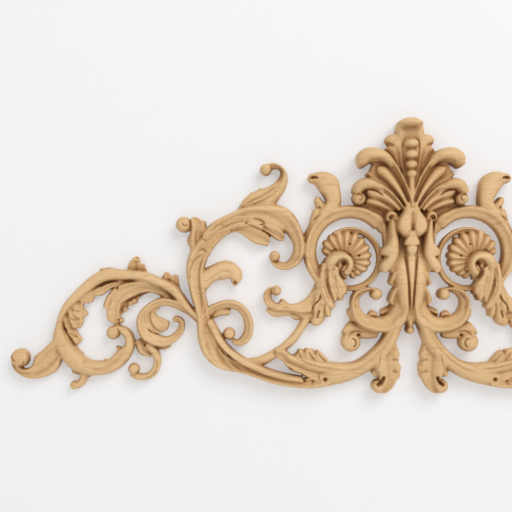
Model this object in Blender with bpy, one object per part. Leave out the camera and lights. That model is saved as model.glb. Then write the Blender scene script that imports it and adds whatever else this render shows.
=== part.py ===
"""A carved wooden scroll onlay, modelled as one solid with a flat back.

Metres, +Z up. The front faces -Y and the back lies on the plane Y = 0. The origin is on the
back, on the centre line. The left half is drawn on a sheet of squares, with x to the right and
y down, and it is mirrored about the centre line. Each scroll and leaf is a band between two
edges, which are given as pairs of points, and each curl ends in a knob.
"""

import math

import bmesh
import bpy
import numpy as np

# Driving dimensions in metres.
WIDTH = 0.800
WING_STEM_RELIEF = 0.0140
WING_LEAF_RELIEF = 0.0095
MAIN_STEM_RELIEF = 0.0165
TOP_LEAF_RELIEF = 0.0175
ROD_RELIEF = 0.0100
RAIL_RELIEF = 0.0155
RING_RELIEF = 0.0150
THIN_RING_RELIEF = 0.0105
SHELL_RELIEF = 0.0135
ROLL_RELIEF = 0.0255
CASCADE_RELIEF = 0.0190
CENTRE_SCROLL_RELIEF = 0.0200
SIDE_LEAF_RELIEF = 0.0260
STALK_RELIEF = 0.0240
CUP_RELIEF = 0.0340
PALMETTE_RELIEF = 0.0240
FEATHER_RELIEF = 0.0260
TIP_THICKNESS = 0.0030
SAW_MARGIN = 0.0020
BACK_STEP = 0.00003
SAW_DEPTH = 0.0120
SAW_SPREAD = 1.5

# The drawing sheet: its squares across the whole width, its centre line and its datum height.
SHEET_SQUARES = 800
SHEET_CENTRE_X = 410
SHEET_DATUM_Y = 256
SQUARE = WIDTH / SHEET_SQUARES

# How finely the bands are drawn: the length and the turn that one ring stands for.
RING_LENGTH = 54 * SQUARE
RING_TURN = math.radians(84)
FEWEST_RINGS = 3
FINE_STEPS = 240
KNOB_SIDES = 5
FLAT_ANGLE = math.radians(16)
SHARP_ANGLE = math.radians(35)

# Sections across a band, as pairs of the share of its width and the share of its relief.
ROUND = ((0.0, 0.5), (0.22, 0.96), (0.78, 0.96), (1.0, 0.5))
LEAF = ((0.0, 0.62), (0.25, 0.98), (0.55, 0.76), (1.0, 0.8))
RIM = ((0.0, 0.5), (0.3, 1.0), (0.62, 0.86), (1.0, 0.36))
BLADE = ((0.0, 0.45), (0.5, 1.0), (1.0, 0.45))
PAIR = ((0.0, 0.45), (0.22, 0.98), (0.5, 0.8), (0.78, 0.98), (1.0, 0.45))
CAP = ((0.0, 0.86), (0.5, 1.0), (1.0, 0.86))
DISH = ((0.0, 0.6), (0.12, 1.0), (0.5, 0.84), (0.88, 1.0), (1.0, 0.6))
# Turned shape of a knob, as pairs of the share of its radius and the share of its relief.
KNOB = ((0.92, 0.0), (1.0, 0.6), (0.62, 0.97))

# The same relief from one end of a band to the other.
FULL = (1.0, 1.0)

# Every band: its relief, section, relief along its length, and its stations. A station holds
# the sheet points of its two edges, so the band's outline runs through them.
LEFT_WING = (
    (WING_STEM_RELIEF, ROUND, (1.0, 1.1, 1.0, 1.0, 1.0, 0.9), (
        (199, 315, 199, 323), (187, 300, 183, 309), (177, 287, 171, 295), (160, 278, 155, 286),
        (145, 272, 140, 281), (125, 270, 122, 280), (108, 269, 108, 281), (95, 273, 97, 286),
        (82, 283, 86, 295), (70, 295, 76, 303), (61, 307, 68, 311), (57, 318, 63, 320),
        (54, 328, 63, 329), (51.5, 339, 66, 335), (55, 350, 70, 342), (62, 361, 75, 349),
        (71, 370, 81, 355), (83, 375, 88, 360), (96, 376, 97, 361.5), (108, 374.5, 105, 360.5),
        (119, 369, 111, 357), (128, 360, 117, 351), (133.5, 348, 124, 344.5),
        (133, 337, 123, 337.5), (126, 328, 117.5, 333), (116, 325, 112, 333))),
    (WING_LEAF_RELIEF, LEAF, FULL, (
        (130, 278, 128, 282), (115, 281, 113, 287), (105, 284, 103, 294), (98, 288, 97, 296.5),
        (93, 291, 93.5, 295))),
    (WING_LEAF_RELIEF, LEAF, FULL, (
        (100, 286, 96, 293), (89, 290, 92.5, 299), (80, 296, 89, 303.5), (78, 301, 83, 303.5))),
    (WING_LEAF_RELIEF, LEAF, FULL, (
        (78, 296, 88, 296), (72, 302, 82, 302), (70, 309, 83.5, 310), (72, 316, 86.5, 315),
        (78, 318.5, 82, 318.5))),
    (WING_LEAF_RELIEF, LEAF, FULL, (
        (67, 306, 78, 306), (66, 315, 80.5, 315), (68, 323, 82, 323), (72, 328.5, 79, 328.5))),
    (WING_LEAF_RELIEF, LEAF, FULL, (
        (60, 311, 69, 311), (61.5, 319, 70.5, 320), (64, 328.5, 69.5, 328))),
    (0.8 * WING_LEAF_RELIEF, LEAF, FULL, (
        (63, 325, 73.5, 324), (65, 333, 76, 333), (70, 340, 80.5, 341), (74, 345, 77, 344.5))),
    (0.8 * WING_LEAF_RELIEF, LEAF, FULL, (
        (66, 341, 74, 340), (70, 348, 77, 349.5), (77, 356, 82, 354))),
    (1.05 * WING_LEAF_RELIEF, LEAF, (0.9, 1.1, 1.2, 1.0, 0.9), (
        (176, 291, 176, 302), (160, 281, 163, 297), (145, 279.5, 147, 292.5),
        (131, 281, 135, 296), (118, 284.5, 124, 302), (109, 292, 119, 307),
        (103, 302, 118.3, 312), (101.7, 307.5, 117, 315.5))),
    (WING_LEAF_RELIEF, LEAF, (1.0, 1.0, 0.9), (
        (110, 300, 121, 306), (106, 309, 119, 313), (105.5, 317, 119.5, 319), (109, 322.5, 119, 324),
        (113, 324.5, 117.5, 325.5))),
    (0.8 * WING_LEAF_RELIEF, LEAF, FULL, (
        (125, 273, 140, 273), (127, 266, 139, 266), (129, 261, 139, 262), (133.5, 256.5, 138.5, 258.5))),
    (0.8 * WING_LEAF_RELIEF, LEAF, FULL, (
        (161, 283, 174, 286), (161.5, 277, 171.5, 279), (164.5, 271.5, 169, 273.5))),
    (0.7 * WING_LEAF_RELIEF, LEAF, FULL, (
        (168, 284, 180, 290), (170.5, 277, 178, 281), (173.5, 274.5, 177.3, 275.7))),
    (0.9 * WING_STEM_RELIEF, RIM, (1.0, 1.05, 1.0, 0.95, 0.9), (
        (199, 317, 199, 327), (187, 306, 188, 316), (175, 299.5, 176, 309.5),
        (162, 297.5, 166, 306.5), (150, 302, 156.5, 308), (141, 309.5, 151, 313),
        (136, 319, 147.5, 320), (136.2, 329, 149, 327), (141, 339, 153, 332.5),
        (150, 345, 158.5, 335.5), (161, 347.5, 165, 337), (173, 343.5, 171, 335),
        (181, 336, 175.5, 331), (184.5, 327, 178, 326), (182, 319, 176.5, 322),
        (176, 316, 173, 321))),
    (0.85 * WING_LEAF_RELIEF, LEAF, (1.0, 1.0, 0.8), (
        (150, 304, 159, 309), (147, 312, 154.5, 313.5), (146, 320, 161, 318.5),
        (149, 328, 168.5, 322.5), (155, 334.5, 166.5, 330.5))),
    (0.8 * WING_LEAF_RELIEF, LEAF, FULL, (
        (133, 342, 142, 337.5), (135, 348, 150, 345.5), (139.5, 355.5, 154, 351), (150, 358, 156, 353))),
    (0.75 * WING_STEM_RELIEF, ROUND, FULL, (
        (147, 343, 143, 350), (155.5, 348, 149, 353), (160, 357, 152.5, 359), (160, 366, 152.5, 366),
        (156, 375, 149, 371.5), (146, 380.7, 143, 374.3), (136, 380.7, 137.3, 373.7),
        (129, 377, 133, 371))),
    (0.95 * WING_STEM_RELIEF, LEAF, (1.0, 0.95, 0.9, 0.9, 0.8), (
        (54, 338, 62, 351), (47.5, 344.5, 60.5, 360), (40.5, 351, 57, 369), (34, 357, 50, 375),
        (31, 365.5, 40, 378.5), (27, 368.5, 30, 379.3), (22, 369, 20.5, 376.5),
        (17.5, 366, 12.5, 370), (15, 360, 9.5, 361))),
    (0.8 * WING_LEAF_RELIEF, LEAF, FULL, (
        (66, 362, 95, 368), (69, 369, 92, 373), (71, 374, 89, 378))),
    (0.7 * WING_STEM_RELIEF, ROUND, FULL, (
        (74, 368, 90, 371), (78, 374, 87, 378), (77.5, 380, 83.5, 385), (72, 382.5, 77.5, 389.5))),
)
LEFT_WING_KNOBS = (
    (112.5, 333, 6.8, WING_STEM_RELIEF), (120, 321, 2.8, WING_LEAF_RELIEF),
    (175, 319.5, 3.2, WING_LEAF_RELIEF), (133, 369.7, 5.8, 0.75 * WING_STEM_RELIEF),
    (19, 358.5, 9.3, WING_STEM_RELIEF), (73, 386, 4.3, 0.7 * WING_STEM_RELIEF),
    (135.5, 259.5, 3.2, 0.8 * WING_LEAF_RELIEF),
)

MAIN_STEM = (
    (MAIN_STEM_RELIEF, LEAF, (1.0, 1.0, 1.0, 1.0, 1.05), (
        (198, 330, 211, 330), (195.5, 313, 208.5, 310), (192, 301, 206, 298), (188, 285, 203.5, 283),
        (186, 271, 204, 269), (187.5, 258, 208, 257), (194, 245, 215, 246), (205, 234, 224, 237),
        (219, 224, 232, 232))),
    (0.8 * MAIN_STEM_RELIEF, LEAF, (1.0, 1.0, 0.9, 0.85), (
        (202, 252, 209, 252), (212, 238, 220, 240.5), (224, 228.5, 229, 233.5), (236, 224, 237, 232),
        (247, 223.5, 246, 237), (257, 227, 254, 243), (265, 231, 261.5, 245), (270.5, 237, 268, 246))),
    (0.9 * MAIN_STEM_RELIEF, ROUND, (0.9, 1.0, 1.0, 0.9), (
        (208, 233, 213, 241), (219, 225.5, 223, 234), (232, 219.5, 235, 229.5), (246, 217, 247, 228),
        (256, 219, 255.5, 229), (264, 225, 261, 232))),
    (TOP_LEAF_RELIEF, RIM, (0.85, 1.0, 1.05, 1.0, 1.0, 0.85), (
        (201, 234, 210, 246), (212, 222.5, 221, 234), (228, 214, 234, 225), (246, 207, 249, 222),
        (262, 204, 262, 225), (278, 204.5, 274, 231), (292, 212, 284, 231.5), (300, 225, 290, 238),
        (304.5, 239, 293.5, 246), (305, 251, 292.5, 253), (301, 262, 289, 259.5),
        (292, 268.7, 284.5, 262.3),
        (282, 270, 280.5, 261.5), (273, 265.5, 277.5, 259), (269.3, 257.5, 275, 257))),
    (0.75 * TOP_LEAF_RELIEF, LEAF, FULL, (
        (252, 219, 252, 223), (264, 222, 263, 230), (275, 226, 271, 235.5), (283.5, 231, 278, 240.5),
        (285, 237, 283, 241))),
    (0.8 * TOP_LEAF_RELIEF, RIM, (1.0, 1.0, 0.9), (
        (275, 207, 236, 212), (279, 199, 243, 200), (284, 192, 253, 191.5), (287, 185.5, 263, 188),
        (288, 178, 274, 183), (286, 170.5, 279, 177), (280, 164.5, 280.5, 172),
        (271.5, 162.3, 277, 168.5),
        (264, 165, 271, 169.5))),
    (0.75 * MAIN_STEM_RELIEF, ROUND, (1.0, 1.0, 0.9), (
        (203, 269, 202, 297), (211, 265.3, 209.5, 286), (220, 261.3, 216.5, 281),
        (229.5, 261, 224.5, 279.7),
        (237, 265.5, 229, 278.7), (241.7, 272, 231, 281), (241.5, 279.5, 232, 284.5),
        (238.5, 284, 234.5, 286.3))),
    (0.85 * MAIN_STEM_RELIEF, LEAF, FULL, (
        (190, 252, 207, 251), (189, 243, 208, 242), (189.5, 234, 206.5, 233), (190, 225, 205.5, 226),
        (190, 219.5, 200, 219.5), (192.5, 217, 197, 217))),
    (0.7 * MAIN_STEM_RELIEF, ROUND, FULL, (
        (198, 232, 205, 232), (199, 224, 206, 225), (200.5, 219.5, 205, 221))),
    (0.85 * MAIN_STEM_RELIEF, RIM, (1.0, 1.0, 0.9), (
        (200, 318, 207, 327), (208, 307, 213, 315), (218, 302, 220.5, 311), (229, 300, 229, 309),
        (240, 303, 237.5, 312), (248, 310.5, 242.5, 318.5), (252.7, 320.5, 244, 326.5),
        (253.2, 332, 243, 333),
        (249.5, 341, 240, 338), (241.5, 346, 236.5, 340), (233, 344.5, 231, 338))),
    (MAIN_STEM_RELIEF, LEAF, (1.0, 1.0, 0.95, 0.9), (
        (196.5, 322, 212, 319), (197, 334, 214, 331), (199, 346, 217, 343), (204.5, 357, 223, 351),
        (213, 365.5, 230, 357.5), (225, 370.5, 240, 362.5), (239, 373, 250, 366.5),
        (254, 377.5, 260, 370),
        (272, 384, 276, 374.5), (290, 387.3, 292, 378), (310, 389, 310, 378.5), (330, 386.5, 328, 374))),
    (1.02 * MAIN_STEM_RELIEF, ROUND, (0.95, 1.0, 1.0, 0.9), (
        (205, 322, 212.5, 318.5), (211, 334, 220, 332), (218, 345, 227, 343.5), (228, 355, 236, 352),
        (240, 364, 246, 358.5), (254, 371, 258, 364.5), (270, 377.5, 272, 370), (288, 382, 289, 374.5),
        (303, 384, 303, 377))),
)
MAIN_STEM_KNOBS = (
    (183.5, 224.5, 8.0, 0.95 * MAIN_STEM_RELIEF), (274.8, 256.3, 5.4, 0.95 * TOP_LEAF_RELIEF),
    (265.8, 169.3, 5.9, 0.8 * TOP_LEAF_RELIEF), (229, 334, 6.2, 0.85 * MAIN_STEM_RELIEF),
)

RAIL = (
    (ROD_RELIEF, ROUND, FULL, (
        (303.5, 316, 312, 321), (297, 327.5, 305, 330), (290, 336.5, 298, 340.5), (281, 345, 287, 350.5),
        (269, 352.5, 275, 359.5), (256, 358, 259, 368), (246, 359.5, 247, 369))),
    (RAIL_RELIEF, LEAF, (0.85, 1.0, 1.0, 1.0), (
        (275, 348, 276.5, 358.5), (284, 349.5, 283, 362), (292, 355, 289, 369.5), (304, 357, 300, 374),
        (317, 360, 312, 381), (331, 362.5, 326, 385), (345, 364, 342, 384))),
    (0.75 * RAIL_RELIEF, ROUND, FULL, (
        (291, 357, 308, 363), (296.7, 353, 305, 357), (298, 349.5, 303.5, 350))),
    (0.75 * RAIL_RELIEF, ROUND, FULL, (
        (301, 359, 322, 366), (303.5, 353, 316.5, 357), (305.5, 348.5, 314, 350))),
    (0.75 * RAIL_RELIEF, ROUND, FULL, (
        (312, 360, 332, 366), (315, 354, 326.5, 358), (317, 350, 321.5, 352.5))),
    (RAIL_RELIEF, ROUND, (0.9, 1.0, 1.1, 1.25, 1.35), (
        (318, 372, 322, 388), (336, 364.5, 340, 384.3), (350, 363, 354, 380), (360, 359.3, 368, 372.5),
        (369, 352.5, 380, 364), (377, 344.5, 390, 354), (383, 335.5, 396.5, 343), (387, 327, 401, 330.5),
        (395, 315, 405, 319))),
    (0.85 * CENTRE_SCROLL_RELIEF, LEAF, (1.0, 1.1, 1.05, 0.9), (
        (378, 347, 396, 343), (373.5, 357, 399, 352), (372.5, 366, 399, 363), (376, 373, 400, 374),
        (379, 379, 396.5, 382), (381, 384, 392, 389), (381, 387, 384.5, 393.7),
        (378.5, 388.5, 376, 391.5))),
    (0.7 * CENTRE_SCROLL_RELIEF, ROUND, FULL, (
        (381, 364, 386, 371), (374, 367, 380, 377), (370.8, 371.5, 374.5, 377.3))),
    (0.7 * CENTRE_SCROLL_RELIEF, ROUND, FULL, (
        (392, 345, 391, 358), (397, 348.5, 396, 359), (400, 353.5, 399, 358))),
    (0.7 * CENTRE_SCROLL_RELIEF, ROUND, FULL, (
        (391, 359, 391, 372), (398, 361.5, 397, 372), (401.2, 366, 400.5, 370.5))),
    (0.7 * CENTRE_SCROLL_RELIEF, ROUND, FULL, (
        (391, 371, 390, 382), (397, 372, 396, 381.5), (400.5, 373.5, 399, 379))),
)
RAIL_KNOBS = ((378.5, 386.5, 7.0, 0.8 * CENTRE_SCROLL_RELIEF),)

CENTRE_SCROLL = (
    (CENTRE_SCROLL_RELIEF, RIM, (1.15, 1.05, 1.0, 0.95, 0.95), (
        (408.7, 305, 395.5, 291), (406, 321, 393.5, 303), (397.5, 329.5, 389, 312.5),
        (385, 333, 382, 317),
        (372, 331.5, 373, 317),
        (361, 327.3, 364, 313), (353.5, 320, 360.5, 307.5), (350.5, 309.5, 359.5, 302),
        (350.5, 299, 360.5, 298.5), (355, 291.5, 363, 295), (363, 288.3, 367, 292.7),
        (370.5, 287.3, 371, 291.3),
        (376, 288.3, 374, 292))),
    (0.6 * CENTRE_SCROLL_RELIEF, ROUND, FULL, (
        (347.8, 309, 357, 310), (347.3, 313.5, 358, 317), (351, 320.5, 359, 323.5))),
    (0.65 * CENTRE_SCROLL_RELIEF, ROUND, FULL, (
        (379.5, 330, 377, 338), (370, 328, 370, 339.3), (360, 324, 360, 338.8), (351.5, 321.3, 352, 338),
        (346.7, 325, 341.5, 334))),
)
CENTRE_SCROLL_KNOBS = (
    (376.2, 294, 6.0, CENTRE_SCROLL_RELIEF), (351, 342, 10.0, 0.8 * CENTRE_SCROLL_RELIEF),
)

# Rings are bands too, with their stations on arcs: centre, outer and inner radius, and angles.
RING_CENTRE = (350.3, 251.5)
RING_RADII = (46.7, 33.5)
RING_ANGLES = (136, 318)
RING_STATIONS = 9
THIN_RING_CENTRE = (351, 259)
THIN_RING_RADII = (32.3, 26.5)
THIN_RING_ANGLES = (236, 476)
THIN_RING_STATIONS = 11
SHELL_CENTRE = (344, 261)
SHELL_HUB = 9
SHELL_REACH = (22, 28.5, 30.5, 31, 31.5, 30.5, 29, 27, 22, 20)
SHELL_ANGLES = (197, 428)
SHELL_PETALS = 13
SHELL_GROOVE = 0.30
SHELL_SCALLOP = 0.07
SHELL_RIM_LIFT = 0.55
SHELL_CREST_REACH = 0.8
SHELL_CREST_LIFT = 0.95
SHELL_BACK_REACH = 0.95

RING_LEAVES = (
    (RING_RELIEF, RIM, (1.0, 1.0, 0.85), (
        (374.5, 211.3, 367.5, 222.5), (381.3, 214.7, 372.5, 225.3), (385.7, 219.5, 376.7, 228),
        (387.2, 226, 379.3, 231.3), (386, 231.7, 382.3, 233.5))),
    (1.05 * RING_RELIEF, ROUND, (1.0, 1.05, 1.0, 0.85), (
        (314, 222, 338, 211), (319, 211, 341.5, 203), (325.5, 202, 341.5, 196), (321.5, 193, 340.5, 188),
        (317.5, 187, 338.5, 180), (315, 184, 331, 173), (313, 182.7, 320, 171.2),
        (309.5, 181.5, 311, 174.3))),
    (0.8 * RING_RELIEF, ROUND, FULL, (
        (307, 229, 321, 222), (310.5, 220, 323, 214), (312.3, 212, 321, 211), (314, 209, 319, 209))),
    (0.8 * RING_RELIEF, ROUND, FULL, (
        (316, 214, 328, 208), (316, 206, 326.5, 204), (314.5, 199.5, 322, 199.5),
        (316.3, 196.5, 320, 197))),
    (0.8 * RING_RELIEF, ROUND, FULL, (
        (304, 243, 312, 243), (304, 235, 316, 232), (309, 226, 322, 222))),
)
RING_LEAF_KNOBS = ((313.3, 178, 5.2, 0.95 * RING_RELIEF),)

CASCADE = (
    (ROLL_RELIEF, ROUND, (0.82, 1.0, 1.0, 1.0, 0.95, 0.85), (
        (324.5, 268, 333, 270), (325.6, 258.5, 336, 265), (331.5, 253, 338.7, 262),
        (340, 251.3, 341.5, 260.3),
        (348, 254.5, 344.8, 261), (352.8, 261.5, 346.3, 264.3), (352.3, 269.5, 344.5, 267.7),
        (347.5, 276.5, 341.3, 270.8))),
    (0.55 * CASCADE_RELIEF, ROUND, FULL, (
        (325, 258, 349, 270), (319, 270, 344, 278), (316, 283, 344, 287), (312, 297, 341, 297),
        (311, 308, 333, 306), (313, 317, 327, 315))),
    (CASCADE_RELIEF, ROUND, (1.15, 1.05, 1.0, 0.85), (
        (332, 264, 340, 269), (331.7, 272.5, 340.3, 274), (334, 281.5, 344.5, 281),
        (337.5, 289.5, 347.7, 288),
        (341, 295.5, 347, 294))),
    (0.98 * CASCADE_RELIEF, ROUND, (1.1, 1.0, 1.0, 0.85), (
        (330, 270, 337, 271), (330.3, 277, 338, 277), (332, 288, 341.5, 287.5), (335.5, 296, 344.3, 296),
        (338.7, 300.7, 342.5, 300.5))),
    (1.02 * CASCADE_RELIEF, ROUND, (1.15, 1.0, 0.95, 0.85), (
        (326.5, 261, 333.5, 265), (326.3, 276, 333, 277), (328.5, 289, 335.3, 289),
        (331.3, 297.5, 337.7, 297),
        (333.7, 301.7, 336.3, 301.3))),
    (0.96 * CASCADE_RELIEF, ROUND, (1.1, 1.0, 1.0, 0.85), (
        (321, 264, 328, 262), (318.5, 276, 326.7, 276), (318, 288, 328.3, 288), (322, 300, 332.3, 298),
        (327.5, 308, 335, 303.5), (332.7, 309.3, 335.7, 307))),
    (0.86 * CASCADE_RELIEF, ROUND, (1.0, 1.0, 0.95, 0.85), (
        (317, 279, 323.5, 277), (316, 290, 325, 289), (318.3, 301, 328.5, 300),
        (322.5, 311.5, 331.5, 310),
        (327, 317.7, 331.3, 316.3))),
    (0.74 * CASCADE_RELIEF, ROUND, (1.0, 1.0, 0.95, 0.85), (
        (313.5, 290, 322, 290), (313, 301, 325, 300), (312.5, 311, 326, 310), (310.7, 319, 325.3, 318),
        (310.3, 323.5, 321.5, 324.3), (313.5, 326, 318, 326.2))),
    (0.86 * CASCADE_RELIEF, ROUND, (1.0, 1.0, 0.85), (
        (316, 293, 322.3, 297), (312.7, 302, 321.7, 303), (311.7, 309, 319.7, 310),
        (313.3, 313.7, 317, 313.7))),
    (0.72 * CASCADE_RELIEF, RIM, FULL, (
        (325, 303, 316, 281), (316, 311, 310.5, 293.5), (305, 314, 302, 301.5), (293, 312, 292, 304.3),
        (281, 311, 282, 303.7), (271.5, 309.5, 275.5, 302.7), (265.3, 304, 272, 299),
        (263.3, 297, 271.5, 295),
        (265.5, 290.5, 272.3, 291.7), (271, 286.7, 274.3, 290.5))),
    (0.5 * CASCADE_RELIEF, ROUND, FULL, (
        (268.5, 306, 265.8, 311.3), (275, 307, 273, 317), (287, 307, 287, 316.5), (299, 308, 299, 319),
        (312, 311, 311, 320))),
)
CASCADE_KNOBS = (
    (276.5, 290.7, 5.1, 0.75 * CASCADE_RELIEF), (341, 266, 8.0, 0.4 * ROLL_RELIEF),
)

CENTRE = (
    (0.88 * CUP_RELIEF, ROUND, (0.8, 1.0, 0.8), (
        (404.5, 205, 415.5, 205), (402.5, 222, 417.5, 222), (404.5, 235, 415.5, 235))),
    (STALK_RELIEF, PAIR, (0.66, 0.74, 1.0, 1.0, 0.85, 0.4), (
        (396, 234, 424, 234), (393.5, 250, 426.5, 250), (392, 266, 428, 266), (393.5, 283, 426.5, 283),
        (396, 299, 424, 299), (399, 311, 421, 311), (403, 319, 417, 319), (406, 325, 414, 325),
        (407.5, 331, 412.5, 331))),
    (1.02 * STALK_RELIEF, CAP, (0.95, 1.0, 1.0, 0.85), (
        (405.3, 253, 414.7, 253), (406.2, 267, 413.8, 267), (407.6, 284, 412.4, 284),
        (408.6, 298, 411.4, 298),
        (409.1, 311, 410.9, 311))),
    (0.72 * STALK_RELIEF, ROUND, FULL, (
        (408.4, 311, 411.6, 311), (405.8, 320, 414.2, 320), (407.3, 326, 412.7, 326))),
    (1.2 * STALK_RELIEF, CAP, (1.0, 1.0, 0.95), (
        (406.3, 231, 413.7, 231), (404.8, 237, 415.2, 237), (402.3, 241.7, 417.7, 241.7),
        (402.3, 245, 417.7, 245))),
    (1.14 * STALK_RELIEF, CAP, (1.0, 1.0, 0.85), (
        (405, 243, 415, 243), (404.8, 250, 415.2, 250), (406.8, 255, 413.2, 255),
        (409.2, 257.8, 410.8, 257.8))),
)
CENTRE_SIDES = (
    (CUP_RELIEF, ROUND, (0.7, 0.8, 0.95, 1.0, 0.97, 0.7), (
        (403, 203, 410.4, 203), (401.5, 210, 410.4, 210), (398.3, 215.5, 410.4, 215),
        (395.3, 221, 410.4, 221.5),
        (394.7, 227.5, 410.4, 227), (397, 233, 409.8, 231.5), (400.7, 236.8, 408.3, 235),
        (403.5, 238.5, 406.5, 237.3))),
    (0.84 * STALK_RELIEF, LEAF, (1.0, 1.0, 0.85), (
        (394.5, 256, 404, 256), (391, 262, 403, 262.5), (389, 267.5, 401.5, 268.5),
        (389.3, 271.3, 400, 272.5),
        (392, 273, 398, 274.3))),
    (0.82 * STALK_RELIEF, LEAF, (1.0, 1.0, 0.85), (
        (395, 269, 404, 269), (390.8, 273.5, 403, 274.5), (389.2, 279.5, 402, 280.5),
        (389.5, 284.3, 400, 285.5),
        (392.5, 286, 398, 287))),
    (0.82 * STALK_RELIEF, LEAF, (1.0, 1.0, 0.85), (
        (398, 284, 406, 284), (391.5, 290, 405, 291), (388.3, 297, 404, 299), (388.3, 302, 402, 304),
        (391, 304.5, 399, 306))),
    (SIDE_LEAF_RELIEF, ROUND, (0.95, 0.95, 1.0, 1.0, 0.9), (
        (387.7, 217, 396, 219), (388.3, 227, 396, 227), (388, 236, 397.7, 236), (385.3, 245, 399, 245),
        (380.5, 250, 399.3, 252), (380.3, 255, 398, 257.5))),
    (0.94 * SIDE_LEAF_RELIEF, ROUND, (1.0, 1.0, 0.95, 0.85), (
        (388, 246, 399.3, 246), (384.3, 257, 398.7, 256), (380.3, 263, 395.7, 263),
        (379, 269.5, 391, 269.5),
        (381, 272.3, 387, 272.3))),
    (SIDE_LEAF_RELIEF, ROUND, (0.95, 1.05, 1.0), (
        (397.5, 219, 392.5, 221.5), (395.3, 213.5, 391.5, 217.7), (391, 211.3, 389.5, 216.3),
        (386.7, 212.7, 387.7, 217.3), (384.7, 217, 387.7, 219), (386.3, 221.3, 389.3, 220.5))),
    (0.5 * SIDE_LEAF_RELIEF, ROUND, FULL, (
        (382, 226, 392, 226), (383, 236, 392, 236), (384, 246, 393, 246))),
)

PALMETTE = (
    (0.72 * PALMETTE_RELIEF, ROUND, FULL, (
        (405, 200, 415, 200), (399, 178, 421, 178), (391, 162, 429, 162), (386, 152.5, 434, 152.5),
        (386.3, 147.5, 433.7, 147.5), (391, 145, 429, 145))),
    (0.8 * PALMETTE_RELIEF, ROUND, (1.0, 1.0, 0.95, 0.9), (
        (397, 160, 423, 160), (389.3, 146.5, 430.7, 146.5), (386, 142.5, 434, 142.5),
        (385.9, 137.5, 434.1, 137.5),
        (388.3, 134.7, 431.7, 134.7))),
    (0.92 * PALMETTE_RELIEF, DISH, (1.0, 0.92, 0.8, 0.86, 1.0), (
        (404, 196, 416, 196), (400, 172, 420, 172), (397, 150, 423, 150), (395.7, 138, 424.3, 138),
        (395.7, 130, 424.3, 130), (396.8, 125, 423.2, 125))),
    (1.15 * PALMETTE_RELIEF, ROUND, (0.85, 1.05, 1.0, 0.8), (
        (403, 127.8, 417, 127.8), (397.7, 125, 422.3, 125), (398.5, 121.5, 421.5, 121.5),
        (403.5, 118.7, 416.5, 118.7))),
    (1.05 * PALMETTE_RELIEF, ROUND, FULL, (
        (405.5, 177, 414.5, 177), (406, 190, 414, 190), (407.3, 209, 412.7, 209))),
)
FEATHERS = (
    (0.64 * FEATHER_RELIEF, ROUND, FULL, (
        (411, 208, 403, 220), (407, 191, 398, 200), (399.5, 174, 387, 188), (392, 161, 376, 180.5),
        (383.5, 152, 367, 175), (376, 152, 371, 168))),
    (0.96 * FEATHER_RELIEF, RIM, (1.1, 1.0, 1.0, 1.0), (
        (412, 208, 409, 210), (407.5, 191, 403.5, 194), (401, 174.5, 396, 179),
        (392.5, 160.5, 386.5, 167.5),
        (384, 151, 379.5, 162), (374, 148, 372, 163))),
    (1.08 * FEATHER_RELIEF, ROUND, (0.8, 0.98, 1.04, 1.0, 0.9), (
        (394.5, 163, 389.5, 170), (387, 153.3, 380.7, 162.5), (377, 148.5, 374, 162.5),
        (367, 147.8, 369, 163.8),
        (359.5, 151.5, 364.5, 166.8), (356.5, 158, 360.3, 168), (357.3, 164, 358.7, 166.8))),
    (0.88 * FEATHER_RELIEF, ROUND, (1.1, 1.0, 1.0, 0.95), (
        (408, 206, 405, 209), (403, 193, 398, 198), (396, 179.7, 388, 186), (388.7, 169, 379.3, 178.3),
        (382.7, 165.3, 375.3, 174), (378.3, 166, 374.7, 170.3))),
    (0.66 * FEATHER_RELIEF, ROUND, FULL, (
        (405, 208, 401, 213), (396, 194.5, 393, 198.5), (385, 182, 381.5, 186.5), (375, 175, 370.3, 180),
        (369, 171, 365.3, 174.5))),
    (0.5 * FEATHER_RELIEF, ROUND, FULL, (
        (404, 208, 400, 221), (395, 198, 390, 219), (385, 188.5, 381, 211), (373, 182, 370, 208),
        (361, 180, 362, 206.5))),
    (0.9 * FEATHER_RELIEF, RIM, (1.1, 1.0, 1.0, 1.0), (
        (404.5, 211, 402, 214), (397.5, 199.5, 394, 204), (389, 190, 385, 196.5),
        (379, 183, 376.5, 191.5),
        (369.5, 178.7, 369.5, 189.5))),
    (0.98 * FEATHER_RELIEF, ROUND, (0.8, 0.98, 1.04, 0.98, 0.85), (
        (385.5, 187.3, 382.5, 193), (377.5, 182, 374.8, 190.5), (368.5, 178.3, 369, 189.8),
        (360, 179, 364.5, 191),
        (353.7, 184.8, 361.5, 193.3), (351.7, 192.3, 359, 195.3))),
    (0.8 * FEATHER_RELIEF, ROUND, (1.1, 1.0, 1.0, 0.95), (
        (400.5, 208.5, 397, 212.5), (391.7, 197, 387, 204), (381.3, 189, 376.5, 199.3),
        (372, 186.7, 368.3, 196.9),
        (367.3, 188.7, 365.7, 194))),
    (0.64 * FEATHER_RELIEF, ROUND, FULL, (
        (395, 209, 391, 214), (385, 202.5, 382, 209), (375, 198, 372.5, 205.5),
        (367, 197.7, 365.7, 203.5))),
)
BUD_KNOBS = (
    (410, 330, 4.3, 0.72 * STALK_RELIEF), (410, 144.7, 7.7, 1.16 * PALMETTE_RELIEF, 0.72),
    (410, 155.3, 7.1, 1.16 * PALMETTE_RELIEF, 0.78), (410, 165.5, 6.5, 1.15 * PALMETTE_RELIEF, 0.8),
    (410, 174.8, 5.9, 1.14 * PALMETTE_RELIEF, 0.82),
)
PALMETTE_KNOBS = (
    (358.7, 198.5, 6.8, 0.86 * FEATHER_RELIEF, 0.95),
)


def clear_scene():
    for thing in list(bpy.data.objects):
        bpy.data.objects.remove(thing, do_unlink=True)


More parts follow.
